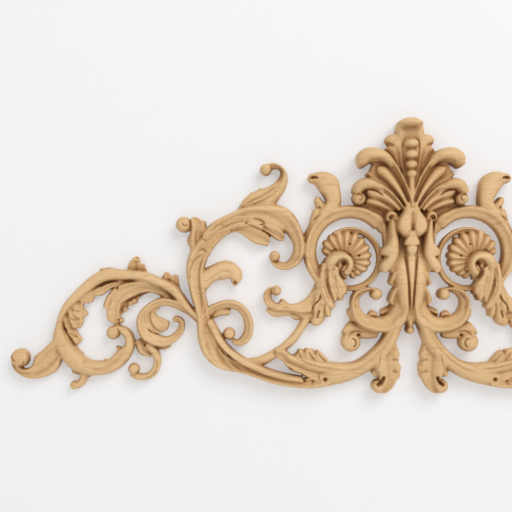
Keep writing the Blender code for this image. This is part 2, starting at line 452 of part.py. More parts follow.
def wood_material():
    material = bpy.data.materials.new("carved_wood")
    material.use_nodes = True
    shader = material.node_tree.nodes["Principled BSDF"]
    shader.inputs["Base Color"].default_value = (0.58, 0.38, 0.20, 1.0)
    shader.inputs["Roughness"].default_value = 0.62
    shader.inputs["Metallic"].default_value = 0.0
    return material


def smooth_curve(knots, values, where):
    """Natural cubic spline through the rows of values at the knots, read at where."""
    count = len(knots)
    gaps = np.diff(knots)
    slopes = np.diff(values, axis=0) / gaps[:, None]
    system = np.eye(count)
    target = np.zeros_like(values)
    for row in range(1, count - 1):
        system[row, row - 1] = gaps[row - 1]
        system[row, row] = 2 * (gaps[row - 1] + gaps[row])
        system[row, row + 1] = gaps[row]
        target[row] = 6 * (slopes[row] - slopes[row - 1])
    bend = np.linalg.solve(system, target)
    piece = np.clip(np.searchsorted(knots, where) - 1, 0, count - 2)
    gap = gaps[piece][:, None]
    before = (where - knots[piece])[:, None]
    after = (knots[piece + 1] - where)[:, None]
    curve = (bend[piece] * after**3 + bend[piece + 1] * before**3) / (6 * gap)
    curve += (values[piece] / gap - bend[piece] * gap / 6) * after
    curve += (values[piece + 1] / gap - bend[piece + 1] * gap / 6) * before
    return curve


def ring_places(stations):
    """Spline knots of a band, and where its rings go: closer together where it turns."""
    middle = (stations[:, :2] + stations[:, 2:]) / 2
    steps = np.linalg.norm(np.diff(middle, axis=0), axis=1)
    knots = np.concatenate([[0.0], np.cumsum(steps)])
    fine = np.linspace(0.0, knots[-1], FINE_STEPS)
    edges = smooth_curve(knots, stations, fine)
    effort = np.zeros(FINE_STEPS - 1)
    for side in (edges[:, :2], edges[:, 2:]):
        run = np.diff(side, axis=0)
        turn = np.abs(np.diff(np.unwrap(np.arctan2(run[:, 1], run[:, 0]))))
        effort += np.linalg.norm(run, axis=1) * SQUARE / RING_LENGTH / 2
        effort[1:] += turn / RING_TURN / 2
    reached = np.concatenate([[0.0], np.cumsum(effort)])
    rings = max(FEWEST_RINGS, math.ceil(reached[-1]) + 1)
    return knots, np.interp(np.linspace(0.0, reached[-1], rings), reached, fine)


def on_sheet(points):
    """Sheet points as X and Z in metres."""
    across = (points[:, 0] - SHEET_CENTRE_X) * SQUARE
    up = (SHEET_DATUM_Y - points[:, 1]) * SQUARE
    return np.stack([across, up], axis=1)


def closed_tube(rings, name):
    """A closed body through rings of equally many points, with both ends filled."""
    shape = bmesh.new()
    loops = [[shape.verts.new(point) for point in ring] for ring in rings]
    size = len(loops[0])
    for first, second in zip(loops, loops[1:]):
        for index in range(size):
            after = (index + 1) % size
            shape.faces.new((first[index], first[after], second[after], second[index]))
    shape.faces.new(loops[0][::-1])
    shape.faces.new(loops[-1])
    bmesh.ops.recalc_face_normals(shape, faces=shape.faces)
    mesh = bpy.data.meshes.new(name)
    shape.to_mesh(mesh)
    shape.free()
    return mesh


def band_mesh(name, relief, section, along, stations):
    """One scroll or leaf: rings across it, from its left edge to its right edge and the back."""
    stations = np.array(stations, dtype=float)
    knots, places = ring_places(stations)
    edges = smooth_curve(knots, stations, places)
    heights = relief * np.interp(places / knots[-1], np.linspace(0, 1, len(along)), along)
    left = on_sheet(edges[:, :2])
    right = on_sheet(edges[:, 2:])
    rings = []
    for first, second, height in zip(left, right, heights):
        ring = []
        for share, lift in section:
            x, z = first + (second - first) * share
            ring.append((x, -max(height * lift, TIP_THICKNESS), z))
        for share in (1.0, 0.0):
            x, z = first + (second - first) * share
            ring.append((x, SAW_MARGIN, z))
        rings.append(ring)
    return closed_tube(rings, name)


def knob_mesh(name, x, y, radius, relief, height=1.0):
    """A knob as deep as the back: half its width across, and its height as a share of it."""
    centre_x, centre_z = on_sheet(np.array([[x, y]], dtype=float))[0]
    rings = []
    for reach, lift in KNOB:
        depth = SAW_MARGIN if lift == 0.0 else -relief * lift
        ring = []
        for side in range(KNOB_SIDES):
            angle = 2 * math.pi * side / KNOB_SIDES - math.pi / 2
            size = radius * SQUARE * reach
            x = centre_x + size * math.cos(angle)
            z = centre_z + size * height * math.sin(angle)
            ring.append((x, depth, z))
        rings.append(ring)
    return closed_tube(rings, name)


def arc_stations(centre, radii, angles, count):
    """Stations on an arc of the sheet: outer point, then inner point."""
    stations = []
    for angle in np.radians(np.linspace(angles[0], angles[1], count)):
        direction = np.array([math.cos(angle), math.sin(angle)])
        outer = centre + radii[0] * direction
        inner = centre + radii[1] * direction
        stations.append((*outer, *inner))
    return stations


def shell_mesh(name):
    """The fan of petals behind the roll: a domed sector with a groove between two petals."""
    rings = []
    steps = 2 * SHELL_PETALS
    start, end = np.radians(SHELL_ANGLES)
    for step in range(steps + 1):
        angle = start + (end - start) * step / steps
        groove = step % 2 == 0
        along = step / steps * (len(SHELL_REACH) - 1)
        reach = np.interp(along, range(len(SHELL_REACH)), SHELL_REACH)
        reach *= 1.0 - SHELL_SCALLOP * groove
        relief = SHELL_RELIEF * (1.0 - SHELL_GROOVE * groove)
        ring = []
        for radius, depth in (
            (reach, -SHELL_RIM_LIFT * relief), (SHELL_CREST_REACH * reach, -SHELL_CREST_LIFT * relief),
            (SHELL_HUB, -relief), (SHELL_HUB, SAW_MARGIN), (SHELL_BACK_REACH * reach, SAW_MARGIN),
        ):
            x = SHELL_CENTRE[0] + radius * math.cos(angle)
            y = SHELL_CENTRE[1] + radius * math.sin(angle)
            across, up = on_sheet(np.array([[x, y]]))[0]
            ring.append((across, depth, up))
        rings.append(ring)
    return closed_tube(rings, name)


def all_meshes():
    """Every shape of the left half, and every shape that lies across the centre line."""
    meshes = []
    groups = (
        LEFT_WING, MAIN_STEM, RAIL, CENTRE_SCROLL, RING_LEAVES, CASCADE, CENTRE_SIDES, FEATHERS,
    )
    for relief, section, along, stations in sum(groups, ()):
        meshes.append(band_mesh(f"band_{len(meshes)}", relief, section, along, stations))
    ring = arc_stations(np.array(RING_CENTRE), RING_RADII, RING_ANGLES, RING_STATIONS)
    meshes.append(band_mesh("ring", RING_RELIEF, RIM, FULL, ring))
    thin = arc_stations(np.array(THIN_RING_CENTRE), THIN_RING_RADII, THIN_RING_ANGLES, THIN_RING_STATIONS)
    meshes.append(band_mesh("thin_ring", THIN_RING_RELIEF, BLADE, FULL, thin))
    meshes.append(shell_mesh("shell"))
    knobs = (
        LEFT_WING_KNOBS + MAIN_STEM_KNOBS + RAIL_KNOBS + CENTRE_SCROLL_KNOBS + RING_LEAF_KNOBS
        + CASCADE_KNOBS + PALMETTE_KNOBS
    )
    for knob in knobs:
        meshes.append(knob_mesh(f"knob_{len(meshes)}", *knob))
    middle = []
    for relief, section, along, stations in CENTRE + PALMETTE:
        middle.append(band_mesh(f"middle_{len(middle)}", relief, section, along, stations))
    for knob in BUD_KNOBS:
        middle.append(knob_mesh(f"middle_{len(middle)}", *knob))
    return meshes, middle


def joined_mesh(sides, middle):
    """All shapes in one mesh, with each side shape mirrored, and each back at its own depth."""
    shape = bmesh.new()
    for index, mesh in enumerate(sides + middle + sides):
        first = len(shape.verts)
        faces = len(shape.faces)
        shape.from_mesh(mesh)
        shape.verts.ensure_lookup_table()
        shape.faces.ensure_lookup_table()
        mirrored = index >= len(sides) + len(middle)
        for vert in shape.verts[first:]:
            if vert.co.y > 0.0:
                vert.co.y += index * BACK_STEP
            if mirrored:
                vert.co.x = -vert.co.x
        if mirrored:
            bmesh.ops.reverse_faces(shape, faces=shape.faces[faces:])
    joined = bpy.data.meshes.new("scroll_onlay")
    shape.to_mesh(joined)
    shape.free()
    return joined


def back_saw():
    """A block behind the back plane, wider than the onlay."""
    shape = bmesh.new()
    bmesh.ops.create_cube(shape, size=1.0)
    for vert in shape.verts:
        vert.co.x *= SAW_SPREAD * WIDTH
        vert.co.z *= SAW_SPREAD * WIDTH
        vert.co.y = (vert.co.y + 0.5) * SAW_DEPTH
    mesh = bpy.data.meshes.new("back_saw")
    shape.to_mesh(mesh)
    shape.free()
    saw = bpy.data.objects.new("back_saw", mesh)
    saw.hide_render = True
    saw.display_type = "WIRE"
    bpy.context.scene.collection.objects.link(saw)
    return saw


def scroll_onlay():
    """One carved piece: the shapes joined and sawn flat at the back."""
    onlay = bpy.data.objects.new("scroll_onlay", joined_mesh(*all_meshes()))
    bpy.context.scene.collection.objects.link(onlay)
    onlay.data.materials.append(wood_material())
    sawn = onlay.modifiers.new("join and saw", "BOOLEAN")
    sawn.operation = "DIFFERENCE"
    sawn.solver = "EXACT"
    sawn.use_self = True
    sawn.object = back_saw()
    lighter = onlay.modifiers.new("merge flat faces", "DECIMATE")
    lighter.decimate_type = "DISSOLVE"
    lighter.angle_limit = FLAT_ANGLE
    onlay.data.shade_smooth()
    onlay.data.set_sharp_from_angle(angle=SHARP_ANGLE)


clear_scene()
scroll_onlay()
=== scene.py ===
"""A carved wooden scroll onlay with its fine carving and wood grain, on a pale ground."""

import math

import bpy
import numpy as np
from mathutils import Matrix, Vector


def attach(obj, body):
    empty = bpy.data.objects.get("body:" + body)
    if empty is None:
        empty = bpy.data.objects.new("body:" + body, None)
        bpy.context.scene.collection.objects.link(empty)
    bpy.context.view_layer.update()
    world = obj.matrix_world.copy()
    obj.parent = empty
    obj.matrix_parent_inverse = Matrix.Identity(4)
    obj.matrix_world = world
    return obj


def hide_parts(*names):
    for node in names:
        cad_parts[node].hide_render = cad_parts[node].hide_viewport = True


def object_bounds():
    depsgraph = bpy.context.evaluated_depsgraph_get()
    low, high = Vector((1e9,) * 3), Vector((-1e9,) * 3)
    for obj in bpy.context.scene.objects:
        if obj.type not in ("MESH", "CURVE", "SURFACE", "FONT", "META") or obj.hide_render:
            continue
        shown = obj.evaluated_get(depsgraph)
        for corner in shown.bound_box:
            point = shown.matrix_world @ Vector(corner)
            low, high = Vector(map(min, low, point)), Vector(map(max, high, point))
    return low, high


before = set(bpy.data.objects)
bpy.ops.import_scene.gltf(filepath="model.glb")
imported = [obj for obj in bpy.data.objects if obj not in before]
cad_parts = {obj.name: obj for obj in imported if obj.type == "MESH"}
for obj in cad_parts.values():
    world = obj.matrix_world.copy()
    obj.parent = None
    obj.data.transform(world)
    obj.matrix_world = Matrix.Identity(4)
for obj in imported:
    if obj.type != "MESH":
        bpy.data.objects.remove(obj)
cad_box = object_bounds()

# Driving dimensions in metres.
WIDTH = 0.800
WING_STEM_RELIEF = 0.0140
WING_LEAF_RELIEF = 0.0095
MAIN_STEM_RELIEF = 0.0165
TOP_LEAF_RELIEF = 0.0175
ROD_RELIEF = 0.0100
RAIL_RELIEF = 0.0155
RING_RELIEF = 0.0150
THIN_RING_RELIEF = 0.0105
SHELL_RELIEF = 0.0135
ROLL_RELIEF = 0.0255
CASCADE_RELIEF = 0.0190
CENTRE_SCROLL_RELIEF = 0.0200
SIDE_LEAF_RELIEF = 0.0260
STALK_RELIEF = 0.0240
CUP_RELIEF = 0.0340
PALMETTE_RELIEF = 0.0240
FEATHER_RELIEF = 0.0260
TIP_THICKNESS = 0.0030

# The drawing sheet: its squares across the whole width, its centre line and its datum height.
SHEET_SQUARES = 800
SHEET_CENTRE_X = 410
SHEET_DATUM_Y = 256
SQUARE = WIDTH / SHEET_SQUARES

# How finely the shapes are drawn: steps in metres, and the least rings along and points across.
RING_STEP = 0.0013
LEAST_RINGS = 5
CROSS_STEP = 0.0010
LEAST_ACROSS = 9
KNOB_SIDES = 36
RING_STATIONS = 9
THIN_RING_STATIONS = 11

# How the shapes are blended: the grain of the blend in metres, and the triangles kept.
VOXEL = 0.0007
TRIANGLES = 190000
# Points nearer the back than this share of the grain are laid flat on it.
BACK_SNAP = 0.4
# The piece stays this far inside the solid's box.
BOX_MARGIN = 0.00001

# The front that is carved: how squarely it faces out, how far it lies from the back, and how fast
# the carving fades where the front turns away.
LEAST_FACING = 0.25
LEAST_DEPTH = 0.002
STEEP_FADE = 1.6
# Wood left behind the deepest cut, and the height over which the highest crests are eased.
FLOOR_THICKNESS = 0.0022
CREST_EASE = 0.004

# Cuts: points drawn for each corner of a line, and how fast and how roundly its ends fade.
CUT_STEPS = 4
CUT_END_FADE = 6.0
CUT_END_POWER = 0.7

# Set-in lines beside each higher edge, drawn on a grid of cells: the cell, their width, and the
# grid's top and height in squares of the sheet, with spare cells past the centre line.
SET_IN_CELL = 0.4
SET_IN_WIDTH = 2.0
SET_IN_TOP = 100
SET_IN_HEIGHT = 300
SPARE_CELLS = 40
# Their depth, and the drop from the edge at which they are fully deep, in metres.
SET_IN_DEPTH = 0.0014
SET_IN_DROP = 0.002
# Points taken along an edge for each square of its length, and around a knob for each of its radius.
EDGE_POINTS = 2
LEAST_EDGE_POINTS = 4
ROUND_POINTS = 12
LEAST_ROUND_POINTS = 8

# Colours of the wood, and the painted shade laid into its recesses.
WOOD_LIGHT = (0.78, 0.54, 0.288, 1.0)
WOOD_DEEP = (0.54, 0.305, 0.112, 1.0)
WOOD_LINE = (0.47, 0.285, 0.125, 1.0)
WOOD_PORE = (0.34, 0.19, 0.08, 1.0)
PAINTED_SHADE_COLOUR = (0.25, 0.10, 0.028, 1.0)
# The wood's noises: their scale along the onlay, through it and up it, then detail and roughness.
TONE_NOISE = ((3.0, 14.0, 16.0), 2.0, 0.5)
WARP_NOISE = ((5.0, 20.0, 22.0), 1.0, 0.5)
GRAIN_NOISE = ((260.0, 260.0, 260.0), 3.0, 0.65)
PORE_NOISE = ((70.0, 700.0, 1100.0), 2.0, 0.6)
TOOL_NOISE = ((160.0, 160.0, 160.0), 1.0, 0.5)
# The grain runs along the onlay, leans with its depth and wanders a little.
GRAIN_ALONG = 0.012
GRAIN_LEAN = 0.45
GRAIN_WARP = 0.012
# Pores and grain lines: where their noise starts to show, how sharply, and how much they darken.
PORE_START = 0.60
PORE_SHARPNESS = 9.0
PORE_STRENGTH = 0.5
LINE_START = 0.53
LINE_SHARPNESS = 5.0
LINE_STRENGTH = 0.7
# Painted shade in the recesses: how near other wood makes one, in metres, and how soon, how steeply
# and how much the painted shade darkens it.
PAINTED_SHADE_REACH = 0.014
PAINTED_SHADE_SAMPLES = 8
PAINTED_SHADE_GAIN = 1.5
PAINTED_SHADE_POWER = 1.6
PAINTED_SHADE_STRENGTH = 0.85
# Painted light from open wood and the wood's own change of tone add to the pale colour; what is taken
# off.
OPEN_PAINTED_LIGHT = 1.5
TONE_PALENESS = 0.9
PALE_START = 1.3
# Roughness of plain wood, and what grain and pores add to it.
WOOD_ROUGHNESS = 0.5
GRAIN_ROUGHNESS = 0.12
PORE_ROUGHNESS = 0.1
# Shares of the tool marks, lines and pores in the surface's relief, and its height in metres.
TOOL_RELIEF = 0.6
LINE_RELIEF = 0.5
PORE_RELIEF = 0.6
MARK_HEIGHT = 0.0004
MARK_STRENGTH = 0.55

# The studio in metres: the wall's gap behind the onlay, the floor, then each light's place, size
# and power in watts.
WALL_GAP = 0.0015
WALL_SIZE = (6.0, 4.0)
WALL_COLOUR = (0.55, 0.55, 0.558, 1.0)
WALL_GLOW = 0.31
FLOOR_PLACE = (0.0, -1.5, -0.6)
FLOOR_SIZE = (6.0, 3.2)
FLOOR_COLOUR = (0.8, 0.8, 0.8, 1.0)
GROUND_ROUGHNESS = 0.9
KEY_LIGHT = ((1.1, -1.9, 1.6), 2.0, 46.0)
FILL_LIGHT = ((-1.4, -2.0, 0.3), 2.2, 10.0)
ROOM_LIGHT = 0.43
WHITE = (1.0, 1.0, 1.0, 1.0)

# The camera: its distance from the picture plane, how far that lies in front of the back, its
# place across and the width of the frame in metres, and its sensor in millimetres.
CAMERA_DISTANCE = 0.9
CAMERA_PLANE = 0.012
CAMERA_X = -0.154
FRAME_WIDTH = 0.512
SENSOR_WIDTH = 36.0

# Sections across a band, as pairs of the share of its width and the share of its relief.
ROUND = (
    (0.0, 0.5), (0.04, 0.7), (0.1, 0.84), (0.2, 0.93), (0.34, 0.985), (0.5, 1.0), (0.66, 0.985),
    (0.8, 0.93), (0.9, 0.84), (0.96, 0.7), (1.0, 0.5),
)
LEAF = (
    (0.0, 0.55), (0.04, 0.76), (0.1, 0.93), (0.2, 1.0), (0.36, 0.92), (0.55, 0.77), (0.7, 0.73),
    (0.84, 0.8), (0.93, 0.8), (0.97, 0.72), (1.0, 0.58),
)
RIM = (
    (0.0, 0.5), (0.04, 0.76), (0.1, 0.92), (0.2, 1.0), (0.34, 0.98), (0.45, 0.87), (0.56, 0.8),
    (0.7, 0.76), (0.86, 0.68), (0.95, 0.56), (1.0, 0.42),
)
PAIR = (
    (0.0, 0.5), (0.04, 0.7), (0.1, 0.86), (0.2, 0.97), (0.3, 1.0), (0.38, 0.97), (0.46, 0.9),
    (0.5, 0.88), (0.54, 0.9), (0.62, 0.97), (0.7, 1.0), (0.8, 0.97), (0.9, 0.86), (0.96, 0.7),
    (1.0, 0.5),
)
CAP = ((0.0, 0.86), (0.08, 0.94), (0.25, 0.99), (0.5, 1.0), (0.75, 0.99), (0.92, 0.94), (1.0, 0.86))
DISH = (
    (0.0, 0.5), (0.04, 0.74), (0.1, 0.9), (0.17, 0.96), (0.28, 0.93), (0.4, 0.89), (0.5, 0.88),
    (0.6, 0.89), (0.72, 0.93), (0.83, 0.96), (0.9, 0.9), (0.96, 0.74), (1.0, 0.5),
)
BLADE = ((0.0, 0.4), (0.2, 0.68), (0.4, 0.94), (0.5, 1.0), (0.6, 0.94), (0.8, 0.68), (1.0, 0.4))
# Dome of a knob, as pairs of the share of its radius and the share of its relief.
KNOB = ((1.0, 0.5), (0.97, 0.68), (0.88, 0.82), (0.7, 0.93), (0.45, 0.985), (0.2, 1.0))
# The same relief from one end of a band to the other.
FULL = (1.0, 1.0)
# A tooth: the share of its width at each share of its length, and its relief along it.
TOOTH_TAPER = ((0.0, 1.0), (0.4, 0.85), (0.75, 0.5), (1.0, 0.12))
TOOTH_ALONG = (1.0, 1.0, 0.85)

# Every band: its relief, section, relief along its length, and its stations. A station holds
# the sheet points of its two edges, so the band's outline runs through them.
LEFT_WING = (
    (WING_STEM_RELIEF, ROUND, (1.0, 1.1, 1.0, 1.0, 1.0, 0.9), (
        (199, 315, 199, 323), (187, 300, 183, 309), (177, 287, 171, 295), (160, 278, 155, 286),
        (145, 272, 140, 281), (125, 270, 122, 280), (108, 269, 108, 281), (95, 273, 97, 286),
        (82, 283, 86, 295), (70, 295, 76, 303), (61, 307, 68, 311), (57, 318, 63, 320),
        (54, 328, 63, 329), (51.5, 339, 66, 335), (55, 350, 70, 342), (62, 361, 75, 349),
        (71, 370, 81, 355), (83, 375, 88, 360), (96, 376, 97, 361.5), (108, 374.5, 105, 360.5),
        (119, 369, 111, 357), (128, 360, 117, 351), (133.5, 348, 124, 344.5), (133, 337, 123, 337.5),
        (126, 328, 117.5, 333), (116, 325, 112, 333))),
    (WING_LEAF_RELIEF, LEAF, FULL, (
        (130, 278, 128, 282), (115, 281, 113, 287), (105, 284, 103, 294), (98, 288, 97, 296.5),
        (93, 291, 93.5, 295))),
    (WING_LEAF_RELIEF, LEAF, FULL, (
        (100, 286, 96, 293), (89, 290, 92.5, 299), (80, 296, 89, 303.5), (78, 301, 83, 303.5))),
    (WING_LEAF_RELIEF, LEAF, FULL, (
        (78, 296, 88, 296), (72, 302, 82, 302), (70, 309, 83.5, 310), (72, 316, 86.5, 315),
        (78, 318.5, 82, 318.5))),
    (WING_LEAF_RELIEF, LEAF, FULL, (
        (67, 306, 78, 306), (66, 315, 80.5, 315), (68, 323, 82, 323), (72, 328.5, 79, 328.5))),
    (WING_LEAF_RELIEF, LEAF, FULL, (
        (60, 311, 69, 311), (61.5, 319, 70.5, 320), (64, 328.5, 69.5, 328))),
    (0.8 * WING_LEAF_RELIEF, LEAF, FULL, (
        (63, 325, 73.5, 324), (65, 333, 76, 333), (70, 340, 80.5, 341), (74, 345, 77, 344.5))),
    (0.8 * WING_LEAF_RELIEF, LEAF, FULL, (
        (66, 341, 74, 340), (70, 348, 77, 349.5), (77, 356, 82, 354))),
    (1.05 * WING_LEAF_RELIEF, LEAF, (0.9, 1.1, 1.2, 1.0, 0.9), (
        (176, 291, 176, 302), (160, 281, 163, 297), (145, 279.5, 147, 292.5), (131, 281, 135, 296),
        (118, 284.5, 124, 302), (109, 292, 119, 307), (103, 302, 118.3, 312),
        (101.7, 307.5, 117, 315.5))),
    (WING_LEAF_RELIEF, LEAF, (1.0, 1.0, 0.9), (
        (110, 300, 121, 306), (106, 309, 119, 313), (105.5, 317, 119.5, 319), (109, 322.5, 119, 324),
        (113, 324.5, 117.5, 325.5))),
    (0.8 * WING_LEAF_RELIEF, LEAF, FULL, (
        (125, 273, 140, 273), (127, 266, 139, 266), (129, 261, 139, 262),
        (133.5, 256.5, 138.5, 258.5))),
    (0.8 * WING_LEAF_RELIEF, LEAF, FULL, (
        (161, 283, 174, 286), (161.5, 277, 171.5, 279), (164.5, 271.5, 169, 273.5))),
    (0.7 * WING_LEAF_RELIEF, LEAF, FULL, (
        (168, 284, 180, 290), (170.5, 277, 178, 281), (173.5, 274.5, 177.3, 275.7))),
    (0.9 * WING_STEM_RELIEF, RIM, (1.0, 1.05, 1.0, 0.95, 0.9), (
        (199, 317, 199, 327), (187, 306, 188, 316), (175, 299.5, 176, 309.5), (162, 297.5, 166, 306.5),
        (150, 302, 156.5, 308), (141, 309.5, 151, 313), (136, 319, 147.5, 320), (136.2, 329, 149, 327),
        (141, 339, 153, 332.5), (150, 345, 158.5, 335.5), (161, 347.5, 165, 337),
        (173, 343.5, 171, 335), (181, 336, 175.5, 331), (184.5, 327, 178, 326), (182, 319, 176.5, 322),
        (176, 316, 173, 321))),
    (0.85 * WING_LEAF_RELIEF, LEAF, (1.0, 1.0, 0.8), (
        (150, 304, 159, 309), (147, 312, 154.5, 313.5), (146, 320, 161, 318.5),
        (149, 328, 168.5, 322.5), (155, 334.5, 166.5, 330.5))),
    (0.8 * WING_LEAF_RELIEF, LEAF, FULL, (
        (133, 342, 142, 337.5), (135, 348, 150, 345.5), (139.5, 355.5, 154, 351),
        (150, 358, 156, 353))),
    (0.75 * WING_STEM_RELIEF, ROUND, FULL, (
        (147, 343, 143, 350), (155.5, 348, 149, 353), (160, 357, 152.5, 359), (160, 366, 152.5, 366),
        (156, 375, 149, 371.5), (146, 380.7, 143, 374.3), (136, 380.7, 137.3, 373.7),
        (129, 377, 133, 371))),
    (0.95 * WING_STEM_RELIEF, LEAF, (1.0, 0.95, 0.9, 0.9, 0.8), (
        (54, 338, 62, 351), (47.5, 344.5, 60.5, 360), (40.5, 351, 57, 369), (34, 357, 50, 375),
        (31, 365.5, 40, 378.5), (27, 368.5, 30, 379.3), (22, 369, 20.5, 376.5), (17.5, 366, 12.5, 370),
        (15, 360, 9.5, 361))),
    (0.8 * WING_LEAF_RELIEF, LEAF, FULL, (
        (66, 362, 95, 368), (69, 369, 92, 373), (71, 374, 89, 378))),
    (0.7 * WING_STEM_RELIEF, ROUND, FULL, (
        (74, 368, 90, 371), (78, 374, 87, 378), (77.5, 380, 83.5, 385), (72, 382.5, 77.5, 389.5))),
)
LEFT_WING_KNOBS = (
    (112.5, 333, 6.8, WING_STEM_RELIEF), (120, 321, 2.8, WING_LEAF_RELIEF),
    (175, 319.5, 3.2, WING_LEAF_RELIEF), (133, 369.7, 5.8, 0.75 * WING_STEM_RELIEF),
    (19, 358.5, 9.3, WING_STEM_RELIEF), (73, 386, 4.3, 0.7 * WING_STEM_RELIEF),
    (135.5, 259.5, 3.2, 0.8 * WING_LEAF_RELIEF),
)

MAIN_STEM = (
    (MAIN_STEM_RELIEF, LEAF, (1.0, 1.0, 1.0, 1.0, 1.05), (
        (198, 330, 211, 330), (195.5, 313, 208.5, 310), (192, 301, 206, 298), (188, 285, 203.5, 283),
        (186, 271, 204, 269), (187.5, 258, 208, 257), (194, 245, 215, 246), (205, 234, 224, 237),
        (219, 224, 232, 232))),
    (0.8 * MAIN_STEM_RELIEF, LEAF, (1.0, 1.0, 0.9, 0.85), (
        (202, 252, 209, 252), (212, 238, 220, 240.5), (224, 228.5, 229, 233.5), (236, 224, 237, 232),
        (247, 223.5, 246, 237), (257, 227, 254, 243), (265, 231, 261.5, 245), (270.5, 237, 268, 246))),
    (0.9 * MAIN_STEM_RELIEF, ROUND, (0.9, 1.0, 1.0, 0.9), (
        (208, 233, 213, 241), (219, 225.5, 223, 234), (232, 219.5, 235, 229.5), (246, 217, 247, 228),
        (256, 219, 255.5, 229), (264, 225, 261, 232))),
    (TOP_LEAF_RELIEF, RIM, (0.85, 1.0, 1.05, 1.0, 1.0, 0.85), (
        (201, 234, 210, 246), (212, 222.5, 221, 234), (228, 214, 234, 225), (246, 207, 249, 222),
        (262, 204, 262, 225), (278, 204.5, 274, 231), (292, 212, 284, 231.5), (300, 225, 290, 238),
        (304.5, 239, 293.5, 246), (305, 251, 292.5, 253), (301, 262, 289, 259.5),
        (292, 268.7, 284.5, 262.3), (282, 270, 280.5, 261.5), (273, 265.5, 277.5, 259),
        (269.3, 257.5, 275, 257))),
    (0.75 * TOP_LEAF_RELIEF, LEAF, FULL, (
        (252, 219, 252, 223), (264, 222, 263, 230), (275, 226, 271, 235.5), (283.5, 231, 278, 240.5),
        (285, 237, 283, 241))),
    (0.8 * TOP_LEAF_RELIEF, RIM, (1.0, 1.0, 0.9), (
        (275, 207, 236, 212), (279, 199, 243, 200), (284, 192, 253, 191.5), (287, 185.5, 263, 188),
        (288, 178, 274, 183), (286, 170.5, 279, 177), (280, 164.5, 280.5, 172),
        (271.5, 162.3, 277, 168.5), (264, 165, 271, 169.5))),
    (0.75 * MAIN_STEM_RELIEF, ROUND, (1.0, 1.0, 0.9), (
        (203, 269, 202, 297), (211, 265.3, 209.5, 286), (220, 261.3, 216.5, 281),
        (229.5, 261, 224.5, 279.7), (237, 265.5, 229, 278.7), (241.7, 272, 231, 281),
        (241.5, 279.5, 232, 284.5), (238.5, 284, 234.5, 286.3))),
    (0.85 * MAIN_STEM_RELIEF, LEAF, FULL, (
        (190, 252, 207, 251), (189, 243, 208, 242), (189.5, 234, 206.5, 233), (190, 225, 205.5, 226),
        (190, 219.5, 200, 219.5), (192.5, 217, 197, 217))),
    (0.7 * MAIN_STEM_RELIEF, ROUND, FULL, (
        (198, 232, 205, 232), (199, 224, 206, 225), (200.5, 219.5, 205, 221))),
    (0.85 * MAIN_STEM_RELIEF, RIM, (1.0, 1.0, 0.9), (
        (200, 318, 207, 327), (208, 307, 213, 315), (218, 302, 220.5, 311), (229, 300, 229, 309),
        (240, 303, 237.5, 312), (248, 310.5, 242.5, 318.5), (252.7, 320.5, 244, 326.5),
        (253.2, 332, 243, 333), (249.5, 341, 240, 338), (241.5, 346, 236.5, 340),
        (233, 344.5, 231, 338))),
    (MAIN_STEM_RELIEF, LEAF, (1.0, 1.0, 0.95, 0.9), (
        (196.5, 322, 212, 319), (197, 334, 214, 331), (199, 346, 217, 343), (204.5, 357, 223, 351),
        (213, 365.5, 230, 357.5), (225, 370.5, 240, 362.5), (239, 373, 250, 366.5),
        (254, 377.5, 260, 370), (272, 384, 276, 374.5), (290, 387.3, 292, 378), (310, 389, 310, 378.5),
        (330, 386.5, 328, 374))),
    (1.02 * MAIN_STEM_RELIEF, ROUND, (0.95, 1.0, 1.0, 0.9), (
        (205, 322, 212.5, 318.5), (211, 334, 220, 332), (218, 345, 227, 343.5), (228, 355, 236, 352),
        (240, 364, 246, 358.5), (254, 371, 258, 364.5), (270, 377.5, 272, 370), (288, 382, 289, 374.5),
        (303, 384, 303, 377))),
)
MAIN_STEM_KNOBS = (
    (183.5, 224.5, 8.0, 0.95 * MAIN_STEM_RELIEF), (274.8, 256.3, 5.4, 0.95 * TOP_LEAF_RELIEF),
    (265.8, 169.3, 5.9, 0.8 * TOP_LEAF_RELIEF), (229, 334, 6.2, 0.85 * MAIN_STEM_RELIEF),
)

